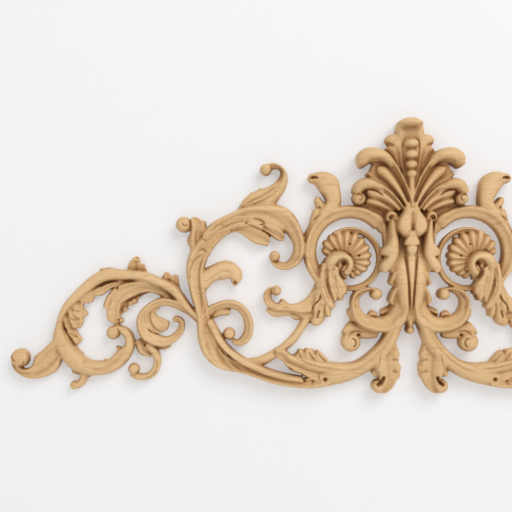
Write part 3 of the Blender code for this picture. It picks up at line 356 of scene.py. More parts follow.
RAIL = (
    (ROD_RELIEF, ROUND, FULL, (
        (303.5, 316, 312, 321), (297, 327.5, 305, 330), (290, 336.5, 298, 340.5),
        (281, 345, 287, 350.5), (269, 352.5, 275, 359.5), (256, 358, 259, 368),
        (246, 359.5, 247, 369))),
    (RAIL_RELIEF, LEAF, (0.85, 1.0, 1.0, 1.0), (
        (275, 348, 276.5, 358.5), (284, 349.5, 283, 362), (292, 355, 289, 369.5), (304, 357, 300, 374),
        (317, 360, 312, 381), (331, 362.5, 326, 385), (345, 364, 342, 384))),
    (0.75 * RAIL_RELIEF, ROUND, FULL, (
        (291, 357, 308, 363), (296.7, 353, 305, 357), (298, 349.5, 303.5, 350))),
    (0.75 * RAIL_RELIEF, ROUND, FULL, (
        (301, 359, 322, 366), (303.5, 353, 316.5, 357), (305.5, 348.5, 314, 350))),
    (0.75 * RAIL_RELIEF, ROUND, FULL, (
        (312, 360, 332, 366), (315, 354, 326.5, 358), (317, 350, 321.5, 352.5))),
    (RAIL_RELIEF, ROUND, (0.9, 1.0, 1.1, 1.25, 1.35), (
        (318, 372, 322, 388), (336, 364.5, 340, 384.3), (350, 363, 354, 380), (360, 359.3, 368, 372.5),
        (369, 352.5, 380, 364), (377, 344.5, 390, 354), (383, 335.5, 396.5, 343),
        (387, 327, 401, 330.5), (395, 315, 405, 319))),
    (0.85 * CENTRE_SCROLL_RELIEF, LEAF, (1.0, 1.1, 1.05, 0.9), (
        (378, 347, 396, 343), (373.5, 357, 399, 352), (372.5, 366, 399, 363), (376, 373, 400, 374),
        (379, 379, 396.5, 382), (381, 384, 392, 389), (381, 387, 384.5, 393.7),
        (378.5, 388.5, 376, 391.5))),
    (0.7 * CENTRE_SCROLL_RELIEF, ROUND, FULL, (
        (381, 364, 386, 371), (374, 367, 380, 377), (370.8, 371.5, 374.5, 377.3))),
    (0.7 * CENTRE_SCROLL_RELIEF, ROUND, FULL, (
        (392, 345, 391, 358), (397, 348.5, 396, 359), (400, 353.5, 399, 358))),
    (0.7 * CENTRE_SCROLL_RELIEF, ROUND, FULL, (
        (391, 359, 391, 372), (398, 361.5, 397, 372), (401.2, 366, 400.5, 370.5))),
    (0.7 * CENTRE_SCROLL_RELIEF, ROUND, FULL, (
        (391, 371, 390, 382), (397, 372, 396, 381.5), (400.5, 373.5, 399, 379))),
)
RAIL_KNOBS = ((378.5, 386.5, 7.0, 0.8 * CENTRE_SCROLL_RELIEF),)

CENTRE_SCROLL = (
    (CENTRE_SCROLL_RELIEF, RIM, (1.15, 1.05, 1.0, 0.95, 0.95), (
        (408.7, 305, 395.5, 291), (406, 321, 393.5, 303), (397.5, 329.5, 389, 312.5),
        (385, 333, 382, 317), (372, 331.5, 373, 317), (361, 327.3, 364, 313),
        (353.5, 320, 360.5, 307.5), (350.5, 309.5, 359.5, 302), (350.5, 299, 360.5, 298.5),
        (355, 291.5, 363, 295), (363, 288.3, 367, 292.7), (370.5, 287.3, 371, 291.3),
        (376, 288.3, 374, 292))),
    (0.6 * CENTRE_SCROLL_RELIEF, ROUND, FULL, (
        (347.8, 309, 357, 310), (347.3, 313.5, 358, 317), (351, 320.5, 359, 323.5))),
    (0.65 * CENTRE_SCROLL_RELIEF, ROUND, FULL, (
        (379.5, 330, 377, 338), (370, 328, 370, 339.3), (360, 324, 360, 338.8),
        (351.5, 321.3, 352, 338), (346.7, 325, 341.5, 334))),
)
CENTRE_SCROLL_KNOBS = (
    (376.2, 294, 6.0, CENTRE_SCROLL_RELIEF), (351, 342, 10.0, 0.8 * CENTRE_SCROLL_RELIEF),
)

# Rings are bands too, with their stations on arcs: centre, outer and inner radius, and angles.
RING_CENTRE = (350.3, 251.5)
RING_RADII = (46.7, 33.5)
RING_ANGLES = (136, 318)
THIN_RING_CENTRE = (351, 259)
THIN_RING_RADII = (32.3, 26.5)
THIN_RING_ANGLES = (236, 476)
# The shell: its centre, its hub, the reach of its petals all round, and the angles it spans.
SHELL_CENTRE = (344, 261)
SHELL_HUB = 4.0
SHELL_REACH = (22, 28.5, 30.5, 31, 31.5, 30.5, 29, 27, 22, 20)
SHELL_ANGLES = (197, 428)
SHELL_PETALS = 13
# Petals of the shell: steps across each, how full they are, how deeply the rim is notched, and rows
# of the share of the reach, the height of the crest and the groove's share of it.
PETAL_STEPS = 16
PETAL_FULLNESS = 0.55
PETAL_NOTCH = 0.12
PETAL_SECTION = (
    (1.0, 0.34, 0.5), (0.985, 0.6, 0.62), (0.95, 0.8, 0.66), (0.88, 0.95, 0.68), (0.78, 1.02, 0.68),
    (0.66, 1.03, 0.7), (0.54, 1.0, 0.74), (0.42, 0.94, 0.8), (0.3, 0.88, 0.88),
)

RING_LEAVES = (
    (RING_RELIEF, RIM, (1.0, 1.0, 0.85), (
        (374.5, 211.3, 367.5, 222.5), (381.3, 214.7, 372.5, 225.3), (385.7, 219.5, 376.7, 228),
        (387.2, 226, 379.3, 231.3), (386, 231.7, 382.3, 233.5))),
    (1.05 * RING_RELIEF, ROUND, (1.0, 1.05, 1.0, 0.85), (
        (314, 222, 338, 211), (319, 211, 341.5, 203), (325.5, 202, 341.5, 196),
        (321.5, 193, 340.5, 188), (317.5, 187, 338.5, 180), (315, 184, 331, 173),
        (313, 182.7, 320, 171.2), (309.5, 181.5, 311, 174.3))),
    (0.8 * RING_RELIEF, ROUND, FULL, (
        (307, 229, 321, 222), (310.5, 220, 323, 214), (312.3, 212, 321, 211), (314, 209, 319, 209))),
    (0.8 * RING_RELIEF, ROUND, FULL, (
        (316, 214, 328, 208), (316, 206, 326.5, 204), (314.5, 199.5, 322, 199.5),
        (316.3, 196.5, 320, 197))),
    (0.8 * RING_RELIEF, ROUND, FULL, (
        (304, 243, 312, 243), (304, 235, 316, 232), (309, 226, 322, 222))),
)
RING_LEAF_KNOBS = ((313.3, 178, 5.2, 0.95 * RING_RELIEF),)

CASCADE = (
    (ROLL_RELIEF, ROUND, (0.82, 1.0, 1.0, 1.0, 0.95, 0.85), (
        (324.5, 268, 333, 270), (325.6, 258.5, 336, 265), (331.5, 253, 338.7, 262),
        (340, 251.3, 341.5, 260.3), (348, 254.5, 344.8, 261), (352.8, 261.5, 346.3, 264.3),
        (352.3, 269.5, 344.5, 267.7), (347.5, 276.5, 341.3, 270.8))),
    (0.55 * CASCADE_RELIEF, ROUND, FULL, (
        (325, 258, 349, 270), (319, 270, 344, 278), (316, 283, 344, 287), (312, 297, 341, 297),
        (311, 308, 333, 306), (313, 317, 327, 315))),
    (CASCADE_RELIEF, ROUND, (1.15, 1.05, 1.0, 0.85), (
        (332, 264, 340, 269), (331.7, 272.5, 340.3, 274), (334, 281.5, 344.5, 281),
        (337.5, 289.5, 347.7, 288), (341, 295.5, 347, 294))),
    (0.98 * CASCADE_RELIEF, ROUND, (1.1, 1.0, 1.0, 0.85), (
        (330, 270, 337, 271), (330.3, 277, 338, 277), (332, 288, 341.5, 287.5),
        (335.5, 296, 344.3, 296), (338.7, 300.7, 342.5, 300.5))),
    (1.02 * CASCADE_RELIEF, ROUND, (1.15, 1.0, 0.95, 0.85), (
        (326.5, 261, 333.5, 265), (326.3, 276, 333, 277), (328.5, 289, 335.3, 289),
        (331.3, 297.5, 337.7, 297), (333.7, 301.7, 336.3, 301.3))),
    (0.96 * CASCADE_RELIEF, ROUND, (1.1, 1.0, 1.0, 0.85), (
        (321, 264, 328, 262), (318.5, 276, 326.7, 276), (318, 288, 328.3, 288), (322, 300, 332.3, 298),
        (327.5, 308, 335, 303.5), (332.7, 309.3, 335.7, 307))),
    (0.86 * CASCADE_RELIEF, ROUND, (1.0, 1.0, 0.95, 0.85), (
        (317, 279, 323.5, 277), (316, 290, 325, 289), (318.3, 301, 328.5, 300),
        (322.5, 311.5, 331.5, 310), (327, 317.7, 331.3, 316.3))),
    (0.74 * CASCADE_RELIEF, ROUND, (1.0, 1.0, 0.95, 0.85), (
        (313.5, 290, 322, 290), (313, 301, 325, 300), (312.5, 311, 326, 310), (310.7, 319, 325.3, 318),
        (310.3, 323.5, 321.5, 324.3), (313.5, 326, 318, 326.2))),
    (0.86 * CASCADE_RELIEF, ROUND, (1.0, 1.0, 0.85), (
        (316, 293, 322.3, 297), (312.7, 302, 321.7, 303), (311.7, 309, 319.7, 310),
        (313.3, 313.7, 317, 313.7))),
    (0.72 * CASCADE_RELIEF, RIM, FULL, (
        (325, 303, 316, 281), (316, 311, 310.5, 293.5), (305, 314, 302, 301.5), (293, 312, 292, 304.3),
        (281, 311, 282, 303.7), (271.5, 309.5, 275.5, 302.7), (265.3, 304, 272, 299),
        (263.3, 297, 271.5, 295), (265.5, 290.5, 272.3, 291.7), (271, 286.7, 274.3, 290.5))),
    (0.5 * CASCADE_RELIEF, ROUND, FULL, (
        (268.5, 306, 265.8, 311.3), (275, 307, 273, 317), (287, 307, 287, 316.5), (299, 308, 299, 319),
        (312, 311, 311, 320))),
)
CASCADE_KNOBS = (
    (276.5, 290.7, 5.1, 0.75 * CASCADE_RELIEF), (341, 266, 8.0, 0.4 * ROLL_RELIEF),
)

CENTRE = (
    (0.88 * CUP_RELIEF, ROUND, (0.8, 1.0, 0.8), (
        (404.5, 205, 415.5, 205), (402.5, 222, 417.5, 222), (404.5, 235, 415.5, 235))),
    (STALK_RELIEF, PAIR, (0.66, 0.74, 1.0, 1.0, 0.85, 0.4), (
        (396, 234, 424, 234), (393.5, 250, 426.5, 250), (392, 266, 428, 266), (393.5, 283, 426.5, 283),
        (396, 299, 424, 299), (399, 311, 421, 311), (403, 319, 417, 319), (406, 325, 414, 325),
        (407.5, 331, 412.5, 331))),
    (1.02 * STALK_RELIEF, CAP, (0.95, 1.0, 1.0, 0.85), (
        (405.3, 253, 414.7, 253), (406.2, 267, 413.8, 267), (407.6, 284, 412.4, 284),
        (408.6, 298, 411.4, 298), (409.1, 311, 410.9, 311))),
    (0.72 * STALK_RELIEF, ROUND, FULL, (
        (408.4, 311, 411.6, 311), (405.8, 320, 414.2, 320), (407.3, 326, 412.7, 326))),
    (1.2 * STALK_RELIEF, CAP, (1.0, 1.0, 0.95), (
        (406.3, 231, 413.7, 231), (404.8, 237, 415.2, 237), (402.3, 241.7, 417.7, 241.7),
        (402.3, 245, 417.7, 245))),
    (1.14 * STALK_RELIEF, CAP, (1.0, 1.0, 0.85), (
        (405, 243, 415, 243), (404.8, 250, 415.2, 250), (406.8, 255, 413.2, 255),
        (409.2, 257.8, 410.8, 257.8))),
)
CENTRE_SIDES = (
    (CUP_RELIEF, ROUND, (0.7, 0.8, 0.95, 1.0, 0.97, 0.7), (
        (403, 203, 410.4, 203), (401.5, 210, 410.4, 210), (398.3, 215.5, 410.4, 215),
        (395.3, 221, 410.4, 221.5), (394.7, 227.5, 410.4, 227), (397, 233, 409.8, 231.5),
        (400.7, 236.8, 408.3, 235), (403.5, 238.5, 406.5, 237.3))),
    (0.84 * STALK_RELIEF, LEAF, (1.0, 1.0, 0.85), (
        (394.5, 256, 404, 256), (391, 262, 403, 262.5), (389, 267.5, 401.5, 268.5),
        (389.3, 271.3, 400, 272.5), (392, 273, 398, 274.3))),
    (0.82 * STALK_RELIEF, LEAF, (1.0, 1.0, 0.85), (
        (395, 269, 404, 269), (390.8, 273.5, 403, 274.5), (389.2, 279.5, 402, 280.5),
        (389.5, 284.3, 400, 285.5), (392.5, 286, 398, 287))),
    (0.82 * STALK_RELIEF, LEAF, (1.0, 1.0, 0.85), (
        (398, 284, 406, 284), (391.5, 290, 405, 291), (388.3, 297, 404, 299), (388.3, 302, 402, 304),
        (391, 304.5, 399, 306))),
    (SIDE_LEAF_RELIEF, ROUND, (0.95, 0.95, 1.0, 1.0, 0.9), (
        (387.7, 217, 396, 219), (388.3, 227, 396, 227), (388, 236, 397.7, 236), (385.3, 245, 399, 245),
        (380.5, 250, 399.3, 252), (380.3, 255, 398, 257.5))),
    (0.94 * SIDE_LEAF_RELIEF, ROUND, (1.0, 1.0, 0.95, 0.85), (
        (388, 246, 399.3, 246), (384.3, 257, 398.7, 256), (380.3, 263, 395.7, 263),
        (379, 269.5, 391, 269.5), (381, 272.3, 387, 272.3))),
    (SIDE_LEAF_RELIEF, ROUND, (0.95, 1.05, 1.0), (
        (397.5, 219, 392.5, 221.5), (395.3, 213.5, 391.5, 217.7), (391, 211.3, 389.5, 216.3),
        (386.7, 212.7, 387.7, 217.3), (384.7, 217, 387.7, 219), (386.3, 221.3, 389.3, 220.5))),
    (0.5 * SIDE_LEAF_RELIEF, ROUND, FULL, (
        (382, 226, 392, 226), (383, 236, 392, 236), (384, 246, 393, 246))),
)

PALMETTE = (
    (0.72 * PALMETTE_RELIEF, ROUND, FULL, (
        (405, 200, 415, 200), (399, 178, 421, 178), (391, 162, 429, 162), (386, 152.5, 434, 152.5),
        (386.3, 147.5, 433.7, 147.5), (391, 145, 429, 145))),
    (0.8 * PALMETTE_RELIEF, ROUND, (1.0, 1.0, 0.95, 0.9), (
        (397, 160, 423, 160), (389.3, 146.5, 430.7, 146.5), (386, 142.5, 434, 142.5),
        (385.9, 137.5, 434.1, 137.5), (388.3, 134.7, 431.7, 134.7))),
    (0.92 * PALMETTE_RELIEF, DISH, (1.0, 0.92, 0.8, 0.86, 1.0), (
        (404, 196, 416, 196), (400, 172, 420, 172), (397, 150, 423, 150), (395.7, 138, 424.3, 138),
        (395.7, 130, 424.3, 130), (396.8, 125, 423.2, 125))),
    (1.15 * PALMETTE_RELIEF, ROUND, (0.85, 1.05, 1.0, 0.8), (
        (403, 127.8, 417, 127.8), (397.7, 125, 422.3, 125), (398.5, 121.5, 421.5, 121.5),
        (403.5, 118.7, 416.5, 118.7))),
    (1.05 * PALMETTE_RELIEF, ROUND, FULL, (
        (405.5, 177, 414.5, 177), (406, 190, 414, 190), (407.3, 209, 412.7, 209))),
)
FEATHERS = (
    (0.64 * FEATHER_RELIEF, ROUND, FULL, (
        (411, 208, 403, 220), (407, 191, 398, 200), (399.5, 174, 387, 188), (392, 161, 376, 180.5),
        (383.5, 152, 367, 175), (376, 152, 371, 168))),
    (0.96 * FEATHER_RELIEF, RIM, (1.1, 1.0, 1.0, 1.0), (
        (412, 208, 409, 210), (407.5, 191, 403.5, 194), (401, 174.5, 396, 179),
        (392.5, 160.5, 386.5, 167.5), (384, 151, 379.5, 162), (374, 148, 372, 163))),
    (1.08 * FEATHER_RELIEF, ROUND, (0.8, 0.98, 1.04, 1.0, 0.9), (
        (394.5, 163, 389.5, 170), (387, 153.3, 380.7, 162.5), (377, 148.5, 374, 162.5),
        (367, 147.8, 369, 163.8), (359.5, 151.5, 364.5, 166.8), (356.5, 158, 360.3, 168),
        (357.3, 164, 358.7, 166.8))),
    (0.88 * FEATHER_RELIEF, ROUND, (1.1, 1.0, 1.0, 0.95), (
        (408, 206, 405, 209), (403, 193, 398, 198), (396, 179.7, 388, 186), (388.7, 169, 379.3, 178.3),
        (382.7, 165.3, 375.3, 174), (378.3, 166, 374.7, 170.3))),
    (0.66 * FEATHER_RELIEF, ROUND, FULL, (
        (405, 208, 401, 213), (396, 194.5, 393, 198.5), (385, 182, 381.5, 186.5),
        (375, 175, 370.3, 180), (369, 171, 365.3, 174.5))),
    (0.5 * FEATHER_RELIEF, ROUND, FULL, (
        (404, 208, 400, 221), (395, 198, 390, 219), (385, 188.5, 381, 211), (373, 182, 370, 208),
        (361, 180, 362, 206.5))),
    (0.9 * FEATHER_RELIEF, RIM, (1.1, 1.0, 1.0, 1.0), (
        (404.5, 211, 402, 214), (397.5, 199.5, 394, 204), (389, 190, 385, 196.5),
        (379, 183, 376.5, 191.5), (369.5, 178.7, 369.5, 189.5))),
    (0.98 * FEATHER_RELIEF, ROUND, (0.8, 0.98, 1.04, 0.98, 0.85), (
        (385.5, 187.3, 382.5, 193), (377.5, 182, 374.8, 190.5), (368.5, 178.3, 369, 189.8),
        (360, 179, 364.5, 191), (353.7, 184.8, 361.5, 193.3), (351.7, 192.3, 359, 195.3))),
    (0.8 * FEATHER_RELIEF, ROUND, (1.1, 1.0, 1.0, 0.95), (
        (400.5, 208.5, 397, 212.5), (391.7, 197, 387, 204), (381.3, 189, 376.5, 199.3),
        (372, 186.7, 368.3, 196.9), (367.3, 188.7, 365.7, 194))),
    (0.64 * FEATHER_RELIEF, ROUND, FULL, (
        (395, 209, 391, 214), (385, 202.5, 382, 209), (375, 198, 372.5, 205.5),
        (367, 197.7, 365.7, 203.5))),
)
BUD_KNOBS = (
    (410, 330, 4.3, 0.72 * STALK_RELIEF), (410, 144.7, 7.7, 1.16 * PALMETTE_RELIEF, 0.72),
    (410, 155.3, 7.1, 1.16 * PALMETTE_RELIEF, 0.78), (410, 165.5, 6.5, 1.15 * PALMETTE_RELIEF, 0.8),
    (410, 174.8, 5.9, 1.14 * PALMETTE_RELIEF, 0.82),
)
PALMETTE_KNOBS = ((358.7, 198.5, 6.8, 0.86 * FEATHER_RELIEF, 0.95),)

# Cuts and raised lines: half width in squares, depth in metres (below zero for a raised line),
# and the sheet points that each one runs through.
CUTS = (
    # Wing.
    (1.5, 0.0015, ((86, 295), (95, 288), (105, 283.5), (120, 281), (135, 281))),
    (1.5, 0.0015, ((62, 318), (62.5, 324), (64, 332), (67, 339), (70, 345))),
    (2.2, -0.0012, ((117, 318), (117, 308), (119, 303), (126, 296), (135, 292), (150, 289))),
    (3.0, 0.0014, ((107.5, 312), (109, 303), (115, 294), (125, 288), (140, 284.5))),
    (1.5, 0.0012, ((121, 312), (123, 306), (129, 300), (138, 295), (150, 292))),
    (1.8, -0.0012, ((150, 307), (146, 313), (146, 320), (149, 327), (153, 333), (160, 336))),
    (1.5, 0.0018, ((153, 309), (149.5, 314), (149.5, 320), (152, 326), (157, 331), (163, 333))),
    (1.1, 0.0025, ((147, 329), (152, 333), (158, 335))),
    (1.3, 0.0018, ((11.5, 355), (12.5, 359), (15.5, 361.5))),
    (1.3, 0.0020, ((24, 361), (22.5, 365), (18, 367.5))),
    (3.0, 0.0013, ((54, 348), (45, 357), (36, 366), (28, 372))),
    (1.4, 0.0010, ((61, 353), (53, 362), (43, 371), (33, 375.5))),
    (1.3, 0.0015, ((83, 363), (85, 361), (86, 359))),
    (2.6, 0.0016, ((88, 367), (98, 370), (109, 366), (118, 359), (123, 350))),
    (1.3, 0.0016, ((137, 373), (133, 376), (128, 374))),
    (1.3, 0.0016, ((117, 337), (119, 333), (117, 328))),
    (1.3, 0.0014, ((70, 309), (74, 311), (79, 312))),
    (1.3, 0.0014, ((68, 318), (73, 320), (77, 320))),
    (1.3, 0.0014, ((68, 333), (72, 336), (76, 338))),
    (1.3, 0.0014, ((70, 345), (74, 349), (78, 352))),
    (1.3, 0.0014, ((143, 344), (147, 349), (150, 354))),
    (1.3, 0.0014, ((156, 357), (156.5, 366), (151, 376), (143, 378))),
    # Main stem, its top leaf and its loops.
    (1.5, 0.0016, ((190, 285), (190, 272), (193, 263), (197, 258), (203, 255))),
    (1.1, 0.0012, ((203, 256), (200, 265), (198.5, 277), (199.5, 290), (201.5, 303), (203, 315))),
    (1.3, 0.0015, ((199, 242), (203, 239.5), (207.5, 242))),
    (1.3, 0.0015, ((198, 252), (203, 249.5), (206.5, 252))),
    (1.3, 0.0018, ((188, 218), (190.5, 224), (188.5, 230))),
    (1.2, 0.0015, ((182, 223), (186, 226), (188, 223.5))),
    (1.4, 0.0012, ((197, 231), (196, 239), (196, 247))),
    (1.2, 0.0028, ((281, 204.5), (285, 206.3), (288.5, 209.5))),
    (1.2, 0.0028, ((291, 213.5), (295, 218), (298.5, 223.5))),
    (2.2, -0.0012, ((220, 226), (232, 220), (245, 217), (254, 218))),
    (1.4, 0.0016, ((219, 230), (232, 223.7), (245, 220.7), (253, 221.5))),
    (1.2, 0.0018, ((253, 219), (259, 219.5), (264, 223.5), (258, 225))),
    (1.3, 0.0018, ((245, 224), (255, 227), (264, 231.5), (271, 235.5), (278, 240.5))),
    (1.6, -0.0010, ((264, 225), (269, 228), (275, 233))),
    (1.5, 0.0016, ((284, 232), (291, 240), (294, 248), (293, 256), (290, 261))),
    (1.2, 0.0018, ((271, 260), (275, 262.3), (279.5, 260.5))),
    (3.4, 0.0012, ((236, 215), (252, 212.5), (266, 214), (279, 221), (288, 231))),
    (2.2, 0.0026, ((277, 182), (281, 176), (281.5, 171), (278, 166.5))),
    (1.3, 0.0012, ((244, 205), (255, 199.5), (266, 193.5), (276, 186))),
    (1.3, 0.0012, ((252, 205.5), (262, 201), (272, 195), (280, 187))),
    (1.3, 0.0009, ((205, 284), (214, 276), (225, 271), (233, 274))),
    (1.6, 0.0014, ((207, 290), (214, 282.5), (222, 278.5))),
    (1.5, 0.0014, ((208, 322), (213, 314), (222, 309), (232, 309.5), (240, 315), (245, 325), (244, 335))),
    (2.0, 0.0014, ((200, 338), (202, 350), (207, 360), (216, 367))),
    (2.0, 0.0014, ((207, 340), (210, 352), (216, 362), (227, 369))),
    (2.0, 0.0014, ((214, 343), (218.5, 354), (226, 363.5), (239, 371.5))),
    (1.8, 0.0013, ((221, 349), (226, 357), (233, 364), (246, 372.5))),
    (1.6, -0.0012, ((212, 330), (218, 341), (227, 352), (240, 362.5), (255, 371), (270, 376))),
    # Rail and its leaves.
    (2.4, 0.0065, ((376.3, 385.5), (379.3, 383.3), (382.3, 380), (383.3, 375.5))),
    (1.3, 0.0022, ((352, 347.5), (355.5, 344), (354.5, 339.5), (350.5, 338.3))),
    (1.5, 0.0030, ((301.5, 374), (302.5, 378), (305.5, 382))),
    (1.5, 0.0026, ((288.5, 367), (290.5, 369.5), (293.5, 370))),
    (1.2, 0.0016, ((314, 380), (312.5, 382.5), (312, 385))),
    (1.2, 0.0013, ((272.5, 351), (275.5, 355), (277.5, 359))),
    (1.8, 0.0014, ((287, 355.5), (303, 361.5), (322, 367.5), (340, 369))),
    (1.5, 0.0012, ((283, 359), (299, 367), (318, 373), (334, 374))),
    (1.3, 0.0016, ((299, 353), (300.5, 357), (303.5, 361))),
    (1.3, 0.0016, ((309, 352), (311.5, 357), (316, 362))),
    (1.3, 0.0016, ((318, 353.5), (322, 358.5), (327, 363))),
    (2.4, 0.0015, ((340, 373), (355, 369.5), (368, 361.5), (380, 350), (388, 338), (394, 326))),
    (1.6, 0.0009, ((388, 347), (387.5, 358), (389, 370), (388, 381))),
    (1.3, 0.0016, ((392, 359), (396, 360), (399.5, 360.5))),
    (1.3, 0.0016, ((392, 371), (396, 371.8), (400, 372.3))),
    (1.3, 0.0014, ((380, 352), (378.5, 362), (376, 370))),
    # Ring, crest, shell and roll.
    (1.4, 0.0028, ((343.2, 263.5), (341.8, 266.5), (340, 269.5))),
    (1.5, 0.0036, ((340, 268.5), (338.9, 272.6), (341, 276), (346.7, 279.7))),
    (1.5, 0.0040, ((310, 178.7), (313.5, 177), (318, 178.5))),
    (1.3, 0.0022, ((320.5, 194), (323.5, 198), (326.5, 203))),
    (1.3, 0.0016, ((312, 222), (317, 217), (321, 214))),
    # Cascade and its arm.
    (1.1, 0.0012, ((334, 274), (335.5, 284), (339, 294))),
    (1.1, 0.0012, ((325.5, 268), (323.5, 281), (326, 294), (330.5, 303))),
    (1.4, 0.0030, ((320.3, 294), (319.3, 299), (315.3, 303.3), (312.8, 307.6), (312.8, 312))),
    (1.3, 0.0026, ((319.5, 310), (318, 314.5), (316.7, 318.3))),
    (1.3, 0.0018, ((325, 303), (324.3, 309), (325, 314))),
    (1.3, 0.0016, ((268, 308.5), (279, 308.5), (290, 307.5))),
    (1.3, 0.0016, ((289, 313), (296, 315), (303, 319.5))),
    (1.3, 0.0016, ((274.5, 287.5), (273.5, 291), (275, 294.5))),
    # Centre scroll and the leaf curl below it.
    (1.6, 0.0009, ((359, 307), (362, 313.5), (368, 319.5), (378, 321.5))),
    (1.4, 0.0016, ((356.5, 309), (354, 303), (356, 297), (362, 292.5))),
    (1.4, 0.0018, ((364, 333), (357, 331), (351, 333), (347, 338))),
    # Stalk, side leaf and cup.
    (1.2, 0.0010, ((380.5, 257.8), (384, 257.5), (387.5, 256))),
    (1.3, 0.0018, ((387.5, 219), (390, 218.7), (392.7, 220.5), (393.7, 224))),
    (1.5, 0.0026, ((404.6, 256.5), (405.5, 268), (407, 284), (408, 298), (408.8, 311))),
    (1.0, 0.0012, ((402, 245.3), (406, 245.8), (410, 246))),
    (1.2, 0.0018, ((410, 210), (410, 218), (410, 225), (410, 232))),
    # Palmette and feathers.
    (1.3, 0.0014, ((405.7, 138.3), (403, 141), (402, 146), (402.5, 156), (404, 168), (405.3, 182))),
    (1.6, 0.0012, ((396, 147), (397.5, 158), (400, 172), (403, 188))),
    (3.2, 0.0013, ((399, 128), (404, 129.3), (410, 129.8))),
    (1.5, 0.0030, ((365.5, 166.5), (368.3, 162.3), (375, 160.5), (382, 162.5), (389, 168.5))),
    (1.4, 0.0028, ((361, 194.5), (363.3, 191), (369, 189.5), (376, 191.7), (382.5, 197))),
    (1.1, 0.0022, ((355, 197.5), (356.7, 195), (360, 195.3), (361.3, 198.5), (359, 201), (357, 199.5))),
    (1.5, 0.0028, ((365.7, 196), (366, 200), (364, 205))),
    (1.4, 0.0020, ((386, 144.3), (390, 144.5), (394, 146.5))),
)

# Drilled eyes: sheet point, radius in squares and depth in metres.
EYES = (
    (116.5, 288, 2.3, 0.0040), (118.5, 320.5, 1.9, 0.0034), (162, 297.5, 1.8, 0.0030),
    (134, 342, 1.8, 0.0026), (136.3, 258, 2.2, 0.0026), (235, 282.7, 3.2, 0.0040),
    (325, 379.5, 3.0, 0.0050), (319.5, 207.5, 2.0, 0.0030), (343.3, 263, 3.1, 0.0062),
    (345.3, 294.7, 1.6, 0.0030), (310.3, 322, 1.8, 0.0030),
    (246, 222.7, 2.2, 0.0030), (313.5, 178.3, 2.4, 0.0026),
    (334, 250, 1.6, 0.0032), (350, 244.2, 1.6, 0.0032), (359, 255.8, 1.6, 0.0032),
    (355, 270, 1.6, 0.0032), (366.5, 243, 1.5, 0.0028), (372, 255.8, 1.5, 0.0028),
    (358.5, 335, 2.4, 0.0045),
)

# Small teeth: base point, tip point, base width in squares and relief in metres.
TEETH = (
    (252, 207, 243.5, 199.3, 8, 0.0095), (259, 201, 251, 191.7, 8, 0.0100),
    (266, 196, 259, 187.3, 7, 0.0105), (123, 354, 115.3, 346.5, 7, 0.010),
    (77, 364, 71.5, 373.5, 8, 0.010), (393.5, 349, 400, 356.8, 6, 0.011),
    (394.5, 363, 401, 371.5, 6, 0.011), (101, 366, 104, 359.5, 6, 0.011),
    (40, 363, 33.3, 356.5, 7, 0.010), (135, 300, 131.7, 305, 6, 0.0095),
    (131, 303, 126.7, 305.5, 5, 0.0095), (126, 308, 121.7, 313.3, 5, 0.0095),
)

# Small leaves that only the fine carving has.
SMALL_LEAVES = (
    (0.62 * WING_LEAF_RELIEF, ROUND, FULL, (
        (84, 291, 90, 298), (98, 282, 101, 291), (112, 278, 114, 288), (127, 277, 127, 286))),
    (0.9 * WING_LEAF_RELIEF, ROUND, FULL, (
        (148, 279, 148, 290), (160, 285.5, 157, 295), (171, 295, 167, 303))),
    (0.86 * CASCADE_RELIEF, ROUND, FULL, (
        (326.5, 264, 338, 268), (326, 276, 341, 276), (328, 288, 345, 287),
        (331.5, 297, 344.5, 295.5))),
    (0.6 * ROLL_RELIEF, ROUND, FULL, (
        (337, 268, 347.5, 271.5), (337.5, 274, 347.5, 277), (339, 278, 347, 280))),
    (0.34 * FEATHER_RELIEF, ROUND, FULL, (
        (368, 203, 366, 214), (378, 206, 376, 219), (388, 208, 386, 223), (398, 209, 396, 223))),
    (0.5 * CENTRE_SCROLL_RELIEF, BLADE, FULL, (
        (368.5, 318, 369, 313), (373, 319, 372, 310.3), (379, 319, 378, 313.3))),
    (0.45 * CENTRE_SCROLL_RELIEF, BLADE, FULL, (
        (381, 318, 381.2, 309.7), (389, 315, 387.3, 306.8), (399, 310, 394, 303))),
    (0.7 * WING_LEAF_RELIEF, LEAF, FULL, (
        (134, 274, 148, 274), (136, 268, 144.3, 267.5), (137, 263.5, 143.5, 264))),
    (0.7 * WING_LEAF_RELIEF, LEAF, FULL, (
        (96, 276, 119, 274), (98, 270, 117, 269.5), (99.5, 268.5, 108, 267.5))),
    (0.6 * WING_LEAF_RELIEF, ROUND, FULL, (
        (146, 341, 151, 336), (156, 349.5, 158, 342), (165, 350.3, 165, 343),
        (170.5, 347.3, 170, 342))),
    (0.62 * WING_LEAF_RELIEF, LEAF, FULL, (
        (150, 287, 150, 293), (141, 289, 142, 295.5), (132, 293, 134, 302.5), (125, 299, 127.5, 306.5),
        (119, 306, 122.5, 311), (115, 313, 118.5, 318))),
    (0.7 * MAIN_STEM_RELIEF, BLADE, FULL, (
        (189, 247, 199, 247), (186.5, 239.5, 197, 239), (188.5, 235, 194, 233.5))),
    (0.5 * MAIN_STEM_RELIEF, ROUND, FULL, (
        (210, 312, 212, 320), (220, 309, 220, 316.5), (230.5, 309, 229, 316))),
    (0.42 * CASCADE_RELIEF, ROUND, FULL, (
        (290.5, 310, 290.3, 316), (297, 311, 295, 320.5), (305, 312, 304, 319))),
    (0.45 * CASCADE_RELIEF, BLADE, FULL, (
        (287, 308, 289.5, 304.3), (282, 306, 281, 299.5), (278, 305, 278.8, 303.5))),
)

# Small knobs that only the fine carving has.
SMALL_KNOBS = (
    (342.3, 265, 7.4, 0.76 * ROLL_RELIEF), (390.6, 216.6, 3.6, 0.86 * SIDE_LEAF_RELIEF),
)

